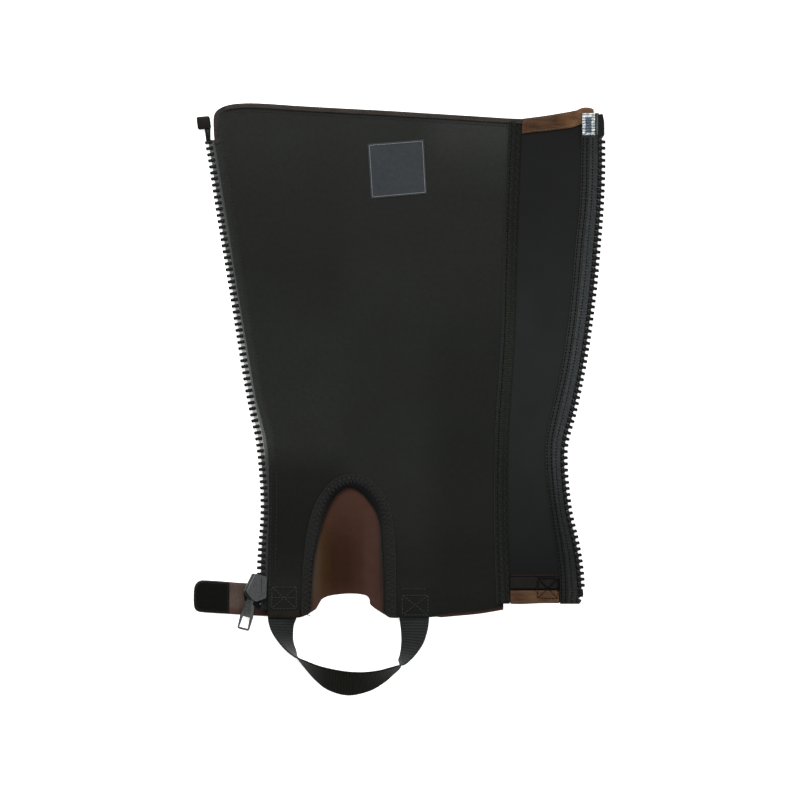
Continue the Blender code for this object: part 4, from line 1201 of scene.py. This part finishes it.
def build_bottom_band(gusset_top):
    """The bottom band, the tape above it, and the crossed box sewn through both."""
    loop = outline("gusset_bottom_band")
    base, low = flat_heights("gusset_bottom_band")

    def band_top(x, y):
        return base(x, y) + 0.3 * hump(y + 165.0, 3.0)

    band = wall("band_bottom", loop, band_top, low, BAND_LEATHER, "gusset_bottom_band",
                FINE_STEP)
    rows = row(level_run(94, 133, -161.2), 3.2, 0.82) + row(level_run(94, 133, -169.4), 3.2, 0.82)
    sewing = threads("stitches_band_bottom", rows, band_top, TAN_THREAD, 0.22)
    declare(band, loop, [sewing])

    loop = outline("gusset_bottom_tape")
    tape_top, low = flat_heights("gusset_bottom_tape")
    tape = wall("tape_bottom", loop, tape_top, low, FLAT_TAPE, "gusset_bottom_tape", FINE_STEP)

    def stack(x, y):
        return tape_top(x, y) if y > BAND_FOLD_Y else band_top(x, y)

    corners = [Vector(p) for p in GUSSET_BOX]
    pairs = []
    for a, b in ((0, 1), (1, 2), (2, 3), (3, 0), (0, 2), (1, 3)):
        count = 2 * int((corners[b] - corners[a]).length / 3.0)
        pairs += row(line(corners[a], corners[b], count), 3.0, 0.96)
    on_tape = [pair for pair in pairs if pair[0].y > BAND_FOLD_Y]
    on_band = [pair for pair in pairs if pair[0].y <= BAND_FOLD_Y]
    boxes = threads("stitches_gusset_box", on_tape, stack, SOFT_BLACK_THREAD, 0.62, 1.1)
    band_boxes = threads("stitches_band_box", on_band, band_top, BROWN_THREAD, 0.36)
    fold = row(level_run(93, 134, BAND_FOLD_Y), 3.0, 0.95)
    crease = threads("stitches_band_fold", fold, raised(tape_top, 0.3), DEEP_THREAD, 0.4)
    top_line = level_run(93, 137, -147.9)
    piping = strip("piping_bottom", top_line, offset_run(top_line, 1.3), gusset_top, PIPING_PROFILE,
                   PIPING_LEATHER)
    declare(tape, loop, [boxes, band_boxes, crease, piping], True)


def build_gusset():
    loop = outline("elastic_gusset")
    top = flat_heights("elastic_gusset")[0]
    cloth = wall("gusset_cloth", loop, top, at_height(0.0), ELASTIC, "elastic_gusset", WIDE_STEP)
    declare(cloth, loop)
    build_top_band()
    build_bottom_band(top)


build_welt()
build_gusset()

# Zip: tapes, teeth, ends


def tip_run(node, which, top, bottom):
    return side(outline(node, 3.0), which, top, bottom, step=1.2)


def outer_x(loop, which, y):
    return crossings(loop, clamp(y, min(p.y for p in loop) + 0.4, max(p.y for p in loop) - 0.4))[which]


def underside(node, which):
    """A tape's outline, and its underside, carried on in a straight line past its outer edge."""
    field = Field(node, -1, wave, blur=1)
    loop = outline(node, 3.0)
    sign = -1 if which == 0 else 1

    def low(x, y):
        edge = outer_x(loop, which, y) - sign * 1.2
        if sign * (x - edge) < 0:
            return field(x, y)
        slope = (field(edge, y) - field(edge - sign * 1.6, y)) / 1.6
        return field(edge, y) + slope * abs(x - edge)

    return loop, low


left_tape_loop, left_low = underside("zip_tape_left", 0)
right_tape_loop, right_low = underside("zip_tape_right", -1)
TAPE_PROFILE = (
    # share from the inner edge to the cord, height above the underside
    (0.0, 0.2), (0.0, 0.7), (0.01, 1.0), (0.04, 1.25), (0.34, 1.25), (0.37, 1.05), (0.39, 0.8), (0.42, 0.86),
    (0.5, 0.9), (0.6, 0.9), (0.67, 0.86), (0.69, 0.7), (0.71, 0.88), (0.8, 0.9), (0.86, 0.95), (0.9, 1.25),
    (0.95, 1.45), (0.985, 1.2), (1.0, 0.6), (0.985, 0.0), (0.95, -0.3), (0.9, -0.1), (0.85, 0.0), (0.5, 0.0),
)
LEFT_PROFILE = (
    # share from the cord to the tucked edge, height above the underside
    (0.0, 0.6), (0.01, 1.2), (0.05, 1.45), (0.1, 1.25), (0.15, 0.95), (0.22, 0.9), (0.27, 0.9), (0.29, 0.72),
    (0.31, 0.88), (0.6, 0.9), (1.0, 0.9), (1.0, 0.0), (0.5, 0.0), (0.15, 0.0), (0.1, -0.1), (0.05, -0.3),
    (0.01, 0.0),
)
CORD_IN = 2.8
END_X = 152.6
END_ROUND_Y = -168.8
END_NOTCH_Y = (-167.2, -165.6)
END_NOTCH_IN = 2.6


RIGHT_TAPE_ENDS = (240.9, -171.2)
RIGHT_CHAIN_ENDS = (222.4, -157.8)
LEFT_TAPE_ENDS = (218.4, -176.4)
TUCK_END_Y = -151.5
SEWN_BELOW_Y = 221.0


def nearest(tips, y):
    return min(tips, key=lambda q: abs(q.y - y))


def build_right_tape():
    tips = tip_run("zip_teeth_right", -1, 219.0, -157.8)
    inner = side(right_tape_loop, 0, *RIGHT_TAPE_ENDS, step=1.6)
    outer = []
    for p in inner:
        if p.y > RIGHT_CHAIN_ENDS[0]:
            x = outer_x(right_tape_loop, -1, p.y) + 1.0
        elif p.y < RIGHT_CHAIN_ENDS[1]:
            notch = END_NOTCH_IN if END_NOTCH_Y[0] < p.y < END_NOTCH_Y[1] else 0.0
            x = END_X - max(0.0, END_ROUND_Y - p.y) * 0.9 - notch
        else:
            x = nearest(tips, p.y).x - CORD_IN
        outer.append(Vector((x, p.y)))
    tape = strip("tape_right", inner, outer, right_low, TAPE_PROFILE, TAPE, "zip_tape_right")
    second_finish(tape, FACING, len(TAPE_PROFILE), 0, 6)
    second_finish(tape, CORD, len(TAPE_PROFILE), 14, 18)

    def surface(x, y):
        i = min(range(len(inner)), key=lambda k: abs(inner[k].y - y))
        share = (x - inner[i].x) / (outer[i].x - inner[i].x)
        return right_low(x, y) + on_profile(TAPE_PROFILE[1:19], share, 0.9)

    clear = [(p, q) for p, q in zip(inner, outer) if p.y < SEWN_BELOW_Y]
    rows = []
    for aside in (1.3, 4.7):
        rows += row([p + Vector((aside, 0.0)) for p, q in clear], 3.0)
    sewing = threads("stitches_tape_right", rows, surface, DEEP_THREAD, 0.38)
    guides = []
    for share in (0.55, 0.82):
        guides += row([p.lerp(q, share) for p, q in clear], 2.6, 0.55)
    return tape, sewing, threads("guide_tape_right", guides, surface, DEEP_THREAD, 0.4)


def build_left_tape():
    tips = tip_run("zip_teeth_left", 0, 217.0, -143.6)
    cord = []
    tucked = []
    for p in side(lining_loop, 0, *LEFT_TAPE_ENDS, step=1.6):
        cord.append(Vector((nearest(tips, p.y).x + CORD_IN, p.y)))
        tucked.append(Vector((p.x + (6.5 if p.y > TUCK_END_Y else 0.8), p.y)))
    tape = strip("tape_left", cord, tucked, left_low, LEFT_PROFILE, LEFT_TAPE, "zip_tape_left")
    second_finish(tape, LEFT_CORD, len(LEFT_PROFILE), 1, 6)
    return tape


def build_tapes():
    right, *sewing = build_right_tape()
    left = build_left_tape()
    declare(right, right_tape_loop, sewing, True)
    declare(left, left_tape_loop, (), True)


TOOTH = (
    # distance from the tip, half width, half height
    (-0.3, 0.72, 0.75), (-0.1, 1.1, 1.15), (0.4, 1.3, 1.4), (1.1, 1.3, 1.5), (1.9, 1.26, 1.5),
    (2.4, 1.45, 1.55),
    (2.75, 1.8, 1.7), (3.2, 2.1, 1.85), (4.0, 2.15, 1.95), (4.7, 2.1, 1.95), (5.2, 1.85, 1.85),
    (5.6, 1.4, 1.55),
    (5.75, 0.9, 1.2),
)


TOOTH_RING = (
    # shares of the half width and the half height
    (1, 0.72), (0.72, 1), (-0.72, 1), (-1, 0.72), (-1, -0.72), (-0.72, -1), (0.72, -1), (1, -0.72),
)


def build_teeth(name, node, which, top, bottom, start, low, further=0.0, slim=2.15):
    """One moulded tooth after another along the tape's edge, and on for a stretch past its end."""
    middle = raised(low, TAPE_T / 2)
    tips = side(outline(node, 2.0), which, top, bottom, step=0.8)
    tips.append(tips[-1] + (tips[-1] - tips[-2]).normalized() * further)
    inward_sign = 1 if which == 0 else -1
    points = []
    faces = []
    for tip, along in walk(tips, TOOTH_PITCH, start):
        inward = Vector((-along.y, along.x))
        if inward.x * inward_sign < 0:
            inward = -inward
        jitter = random.uniform(-0.1, 0.1)
        faces += tube(len(points), len(TOOTH), len(TOOTH_RING))
        for back, half_w, half_h in TOOTH:
            centre = tip + inward * (back + 0.05) + along * jitter
            slope = middle(centre.x + 0.5, centre.y) - middle(centre.x - 0.5, centre.y)
            up = Vector((-slope, 0.0, 1.0)).normalized()
            z = middle(centre.x, centre.y)
            for a, b in TOOTH_RING:
                flat = centre + along * (min(half_w, slim) * a)
                points.append((flat.x + up.x * half_h * b, flat.y, z + up.z * half_h * b))
    finish_mesh(name, points, faces, PLASTIC, node)


BOX_CORNERS = ((-169.7, 226.8), (-158.4, 227.7), (-159.9, 238.5), (-171.1, 237.6))
BOX_Z = (0.2, 5.8)
STEM_CORNERS = ((-162.7, 217.0), (-159.1, 217.0), (-159.2, 228.6), (-164.2, 228.6))
STEM_Z = (0.4, 4.2)
CRINKLE = 0.12
CRINKLE_SPAN = 3
STOP_CORNERS = ((150.1, -165.3), (153.6, -165.3), (154.0, -163.0), (153.6, -158.8), (150.1, -158.8))


def rounded_corners(corners, radius, count=5):
    """A polygon with arcs for its corners."""
    corners = [Vector(c) for c in corners]
    loop = []
    for i, p in enumerate(corners):
        before = (corners[i - 1] - p).normalized()
        after = (corners[(i + 1) % len(corners)] - p).normalized()
        half = before.angle(after) / 2
        centre = p + (before + after).normalized() * (radius / math.sin(half))
        start = p + before * (radius / math.tan(half)) - centre
        end = p + after * (radius / math.tan(half)) - centre
        for k in range(count + 1):
            loop.append(centre + start.lerp(end, k / count).normalized() * radius)
    return loop


def moulded(name, loop, low, high, edge, material, slot, node=None, face=None):
    """A hard plate with a rounded rim, and a finish of its own for its top face if one is given."""
    points = []
    for base, sign, angles in ((low, 1, (90, 60, 30, 0)), (high, -1, (0, 30, 60, 90))):
        for angle in angles:
            turn = math.radians(angle)
            z = base + sign * edge * (1 - math.sin(turn))
            points += [(p.x, p.y, z) for p in inset(loop, edge * (1 - math.cos(turn)))]
    piece = finish_mesh(name, points, tube(0, 8, len(loop)), material, node)
    if face:
        piece.data.materials.append(face)
        piece.data.polygons[-1].material_index = 1


def build_zip_ends():
    moulded("box_left", rounded_corners(BOX_CORNERS, 1.7), *BOX_Z, 1.5, PLASTIC, "zip_plastic",
            "zip_box_left", BOX_FACE)
    moulded("stem_left", rounded_corners(STEM_CORNERS, 0.6), *STEM_Z, 0.9, PLASTIC, "zip_plastic")
    rounded("zip_pin_right", "pin_right", 0.8, [PLASTIC])
    low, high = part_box("zip_stop_right")
    moulded("stop_right", rounded_corners(STOP_CORNERS, 0.5), low.z / MM, high.z / MM, 0.8, PLASTIC,
            "zip_plastic", "zip_stop_right")
    loop = [Vector((min(p.x, FILM_RIGHT_X), p.y)) for p in outline("zip_film_right", 1.2)]
    film_top, film_low = flat_heights("zip_film_right")

    def crinkled(x, y):
        return film_top(x, y) + CRINKLE * noise.noise(Vector((x / CRINKLE_SPAN, y / CRINKLE_SPAN, 1)))

    wall("film_right", loop, crinkled, film_low, FILM, "zip_film_right", 1.6)


build_tapes()
build_teeth("teeth_left", "zip_teeth_left", 0, 217.1, -143.7, 1.3, left_low, 3.0, 1.45)
build_teeth("teeth_right", "zip_teeth_right", -1, 219.2, -158.0, 2.6, right_low)
build_zip_ends()

# Slider and pull


RIM_PROFILE = (
    # share across, height above the plate
    (0.0, -0.1), (0.15, 0.2), (0.5, 0.38), (0.85, 0.2), (1.0, -0.1), (0.5, -0.25),
)
CHAIN_END = (
    # x, y
    (-130.8, -156.8), (-131.6, -161.0), (-130.4, -168.0), (-125.0, -172.0), (-120.1, -174.6),
    (-115.4, -173.8),
    (-113.6, -168.0), (-115.9, -159.6),
)
CHAIN_END_Z = (2.3, 5.2)
GLINT_SPOTS = ((-117.1, -170.9), (-114.5, -175.4))
DIMPLES = ((-116.6, -150.2), (-120.2, -157.3), (-118.9, -161.4), (-113.9, -162.4))
PULL_RECESS = (
    # x, y
    (-129.6, -169.0), (-131.4, -179.6), (-126.0, -180.0), (-125.2, -175.0), (-125.6, -168.6),
)


def height_on(node):
    """The upper height of a CAD node at a plane point."""
    points, faces = cad_faces(node)
    tree = BVHTree.FromPolygons(points, facing(points, faces, 1))
    down = Vector((0.0, 0.0, -1.0))

    def height(x, y):
        hit = tree.ray_cast(Vector((x, y, 100.0)), down)[0]
        return hit.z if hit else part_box(node)[1].z / MM

    return height


STUD_RINGS = (
    # share of the radius, share of the rise
    (1.0, -0.2), (1.0, 0.1), (0.8, 0.7), (0.45, 1.0),
)
STUD_SIDES = 12


def studs(name, spots, radius, rise, surface, material):
    """Small domes or, with a low rise, dimple rings."""
    points = []
    faces = []
    for x, y in spots:
        faces += tube(len(points), len(STUD_RINGS), STUD_SIDES)
        for share, up in STUD_RINGS:
            for k in range(STUD_SIDES):
                angle = 2 * math.pi * k / STUD_SIDES
                points.append((x + radius * share * math.cos(angle), y + radius * share * math.sin(angle),
                               surface(x, y) + rise * up))
    finish_mesh(name, points, faces, material)


def spot_height(x, y):
    return CHAIN_END_Z[1] if y > -174.0 else 3.0


def build_slider():
    plate = outline("zip_slider", 1.0, 30.0)
    on_slider = height_on("zip_slider")
    on_pull = height_on("zip_pull")
    edge, inner = inset(plate, 1.5), inset(plate, 2.3)
    edge.append(edge[0])
    inner.append(inner[0])
    middle_z = float(np.median([on_slider(p.x, p.y) for p in edge]))
    strip("slider_rim", edge, inner, at_height(middle_z), RIM_PROFILE, METAL_EDGE)
    studs("slider_dimples", DIMPLES, 0.6, 0.15, on_slider, METAL_EDGE)
    chain = [Vector(p) for p in CHAIN_END]
    low, high = CHAIN_END_Z
    # The chain's black end below the slider, widened into a dark mass that stands for the slider's shadow:
    # painted shadow.
    wall("chain_end_left_and_shadow", chain, at_height(high), at_height(low), PLASTIC, step=2.0)
    # Pale domes on the chain end: painted glints.
    studs("chain_end_painted_glints", GLINT_SPOTS, 0.7, 0.8, spot_height, PAINTED_GLINT)
    recess = [Vector(p) for p in PULL_RECESS]
    wall("pull_recess", recess, raised(on_pull, 0.12), raised(on_pull, -0.2), RECESS, step=1.2,
         body=PULL_BODY)
    rounded("zip_slider", "slider_body", 0.55, [METAL, METAL_EDGE])
    rounded("zip_pull", "pull_body", 0.5, [METAL, METAL_EDGE], PULL_BODY)


build_slider()

# Stirrup strap

STRAP_LEFT_Z = 4.45
STRAP_RIGHT_Z = 2.35
STRAP = (
    # outer edge x, y, z and inner edge x, y, z
    (-111.0, -156.2, STRAP_LEFT_Z, -86.5, -156.2, STRAP_LEFT_Z),
    (-111.0, -181.0, STRAP_LEFT_Z, -86.7, -181.0, STRAP_LEFT_Z),
    (-111.0, -183.2, STRAP_LEFT_Z, -86.9, -183.2, STRAP_LEFT_Z),
    (-109.9, -188.2, 9.6, -89.2, -189.2, 2.0),
    (-107.1, -194.5, 15.2, -89.9, -196.6, 0.8),
    (-103.6, -199.8, 19.4, -89.8, -201.5, 0.8),
    (-98.7, -205.7, 22.0, -88.9, -205.9, 0.8),
    (-93.1, -211.0, 23.3, -87.3, -211.0, 0.8),
    (-87.0, -215.0, 23.8, -86.4, -215.6, 0.8),
    (-80.5, -217.6, 23.7, -82.3, -221.7, 0.8),
    (-68.0, -222.3, 21.5, -70.7, -235.5, 0.8),
    (-57.3, -225.1, 17.8, -59.8, -243.7, 0.8),
    (-43.8, -227.4, 15.8, -43.4, -248.0, 0.8),
    (-30.4, -227.8, 18.3, -25.7, -244.3, 0.8),
    (-17.8, -226.3, 21.2, -13.6, -237.4, 0.8),
    (-9.4, -224.2, 22.7, -6.6, -231.2, 0.8),
    (-1.8, -222.2, 23.4, 0.2, -224.2, 0.8),
    (3.5, -221.2, 23.2, -1.2, -218.8, 0.8),
    (9.6, -216.4, 21.8, -0.2, -214.7, 0.8),
    (15.0, -210.4, 18.8, 0.8, -208.8, 0.8),
    (19.6, -203.3, 14.8, 1.2, -201.2, 0.8),
    (22.8, -194.1, 9.2, 0.8, -194.1, 0.9),
    (24.1, -187.2, 4.6, 0.0, -187.2, 1.4),
    (24.5, -183.0, STRAP_RIGHT_Z, -0.6, -183.0, STRAP_RIGHT_Z),
    (24.5, -181.0, STRAP_RIGHT_Z, -0.6, -181.0, STRAP_RIGHT_Z),
    (24.5, -156.2, STRAP_RIGHT_Z, -0.6, -156.2, STRAP_RIGHT_Z),
)


STRAP_STEP = 0.6
STRAP_SHARES = (0.0, 0.02, 0.06, 0.12, 0.3, 0.5, 0.7, 0.88, 0.94, 0.98, 1.0)
RIB_PITCH = 2.5
RIB_RISE = 0.1


def along_middle(change):
    """How far the strap's middle moves when its two edges do."""
    return np.linalg.norm(change[:3] + change[3:]) / 2


def build_strap():
    stations = curve([np.array(r) for r in STRAP], STRAP_STEP, np.linalg.norm, along_middle)
    middles = [Vector((r[:3] + r[3:]) / 2) for r in stations]
    rings = []
    along = 0.0
    for i, r in enumerate(stations):
        outer, inner = Vector(r[:3]), Vector(r[3:])
        ahead = middles[min(i + 1, len(middles) - 1)] - middles[max(i - 1, 0)]
        along += (middles[i] - middles[i - 1]).length if i else 0.0
        normal = ahead.cross(inner - outer).normalized()
        rib = RIB_RISE * math.sin(2 * math.pi * along / RIB_PITCH)
        ring = []
        for sign, order in ((1, STRAP_SHARES), (-1, STRAP_SHARES[::-1])):
            for share in order:
                edge = min(share, 1 - share)
                half = 0.35 if edge == 0 else (0.62 if edge < 0.03 else 0.72)
                ridge = rib if edge > 0.05 else 0.0
                ring.append(tuple(outer.lerp(inner, share) + normal * (sign * (half + ridge))))
        rings.append(ring)
    strap = ribbon("strap_webbing", rings, WEBBING, "stirrup_strap")
    size = len(STRAP_SHARES)
    # The strap's back face takes the painted shade copy of the webbing.
    second_finish(strap, WEBBING_SHADED_BACK, 2 * size, size, 2 * size - 1)


def box_stitches(left, right, lines, bottom):
    """Stitched lines across a sewn-in strap end, and a crossed box under the last of them."""
    pairs = []
    for y in lines:
        pairs += row(line((left, y), (right, y)), 2.9, 0.82)
    top = lines[-1]
    corners = ((left, top), (right, top), (right, bottom), (left, bottom))
    for a, b in ((1, 2), (2, 3), (3, 0), (0, 2), (1, 3)):
        pairs += row(line(corners[a], corners[b]), 2.9, 0.92)
    return pairs


def build_boxes():
    pairs = box_stitches(-107.5, -87.0, (-157.0,), -175.0)
    pairs += row(line((-108.5, -165.8), (-86.5, -165.8)), 2.9, 0.97)
    pairs += box_stitches(2.0, 23.5, (-158.5, -164.0), -180.4)
    threads("stitches_strap_boxes", pairs, lining_top, GREY_THREAD, 0.48, 0.8)


build_strap()
build_boxes()

# Tab with its hook patch


HOOK_RIGHT_X = -143.4


HOOK_GROUND = 0.35
TAB_FOLD_X = -137.5
TAB_FOLD_WIDTH = 2.5
TAB_FOLD_RISE = 0.25
HOOK_STEP = 1.15
HOOK_THICK = 0.11
HOOK_ARC = (
    # reach, height
    (0.0, 0.0), (0.05, 0.35), (0.28, 0.58), (0.5, 0.5), (0.58, 0.32),
)


def build_hooks(loop, ground):
    """Small bent hooks all over the patch, each leaning its own way."""
    points = []
    faces = []
    for spot in inner_dots(loop, HOOK_STEP, loop):
        turn = random.uniform(0, 2 * math.pi)
        lean = Vector((math.cos(turn), math.sin(turn)))
        aside = Vector((-lean.y, lean.x)) * HOOK_THICK
        faces += tube(len(points), len(HOOK_ARC), 4)
        for reach, height in HOOK_ARC:
            c = spot + lean * reach
            for a, up in ((1, 0.0), (0, HOOK_THICK), (-1, 0.0), (0, -HOOK_THICK)):
                points.append((c.x + aside.x * a, c.y + aside.y * a, ground + height + up))
    return finish_mesh("hooks", points, faces, HOOK)


def build_tab():
    loop = outline("tab_leather")
    tab_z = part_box("tab_leather")[1].z / MM

    def top(x, y):
        return tab_z - 0.1 + TAB_FOLD_RISE * hump(x - TAB_FOLD_X, TAB_FOLD_WIDTH)

    tab = wall("tab_strip", loop, top, at_height(0.0), TAB_LEATHER, "tab_leather", 2.6)
    hook_loop = [Vector((min(p.x, HOOK_RIGHT_X), p.y)) for p in outline("tab_hook_patch")]
    low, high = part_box("tab_hook_patch")
    ground = high.z / MM - HOOK_GROUND
    patch = wall("hook_patch", hook_loop, at_height(ground), at_height(low.z / MM), HOOK,
                 "tab_hook_patch", 2.6)
    hooks = build_hooks(inset(hook_loop, 1.5), ground)
    edge = inset(hook_loop, 1.0)
    sewing = threads("stitches_hook", row(edge + edge[:1], 2.8), at_height(ground), THREAD, 0.22)
    declare(tab, loop)
    declare(patch, hook_loop, [hooks, sewing])


build_tab()

# Camera, light and floor


def build_stage():
    camera = bpy.data.cameras.new("camera")
    camera.lens = LENS
    camera.sensor_width = SENSOR
    distance = VIEW_WIDTH * LENS / SENSOR
    camera.clip_end = 3 * distance
    view = link("camera", camera)
    view.location = (0.0, 0.0, distance)
    bpy.context.scene.camera = view

    bpy.ops.mesh.primitive_plane_add(size=FLOOR_SIZE, location=(0.0, 0.0, 0.0))
    floor = bpy.context.object
    floor.name = "floor"
    paint = Paint("floor_paper", Roughness=0.9, Emission_Color=(1.0, 1.0, 1.0, 1.0), Emission_Strength=0.65)
    paint.set(Base_Color=paint.shade(paint.speckle(0.4, 2.0), (0.3, 0.86), (0.7, 0.9)))
    floor.data.materials.append(paint.material)

    lights = (
        # name, place, size, power
        ("key", (-0.45, 0.95, 1.15), 1.0, 30.0),
        ("fill", (1.5, -0.6, 1.9), 1.7, 30.0),
    )
    for name, place, size, power in lights:
        light = bpy.data.lights.new(name, "AREA")
        light.size = size
        light.energy = power
        lamp = link(name, light)
        lamp.location = place
        lamp.rotation_euler = (-Vector(place)).to_track_quat("-Z", "Y").to_euler()

    world = bpy.data.worlds.new("studio")
    world.use_nodes = True
    sockets = world.node_tree.nodes["Background"].inputs
    sockets["Color"].default_value = (1.0, 1.0, 1.0, 1.0)
    sockets["Strength"].default_value = 0.45
    bpy.context.scene.world = world
    bpy.context.scene.view_settings.view_transform = "Standard"


build_stage()
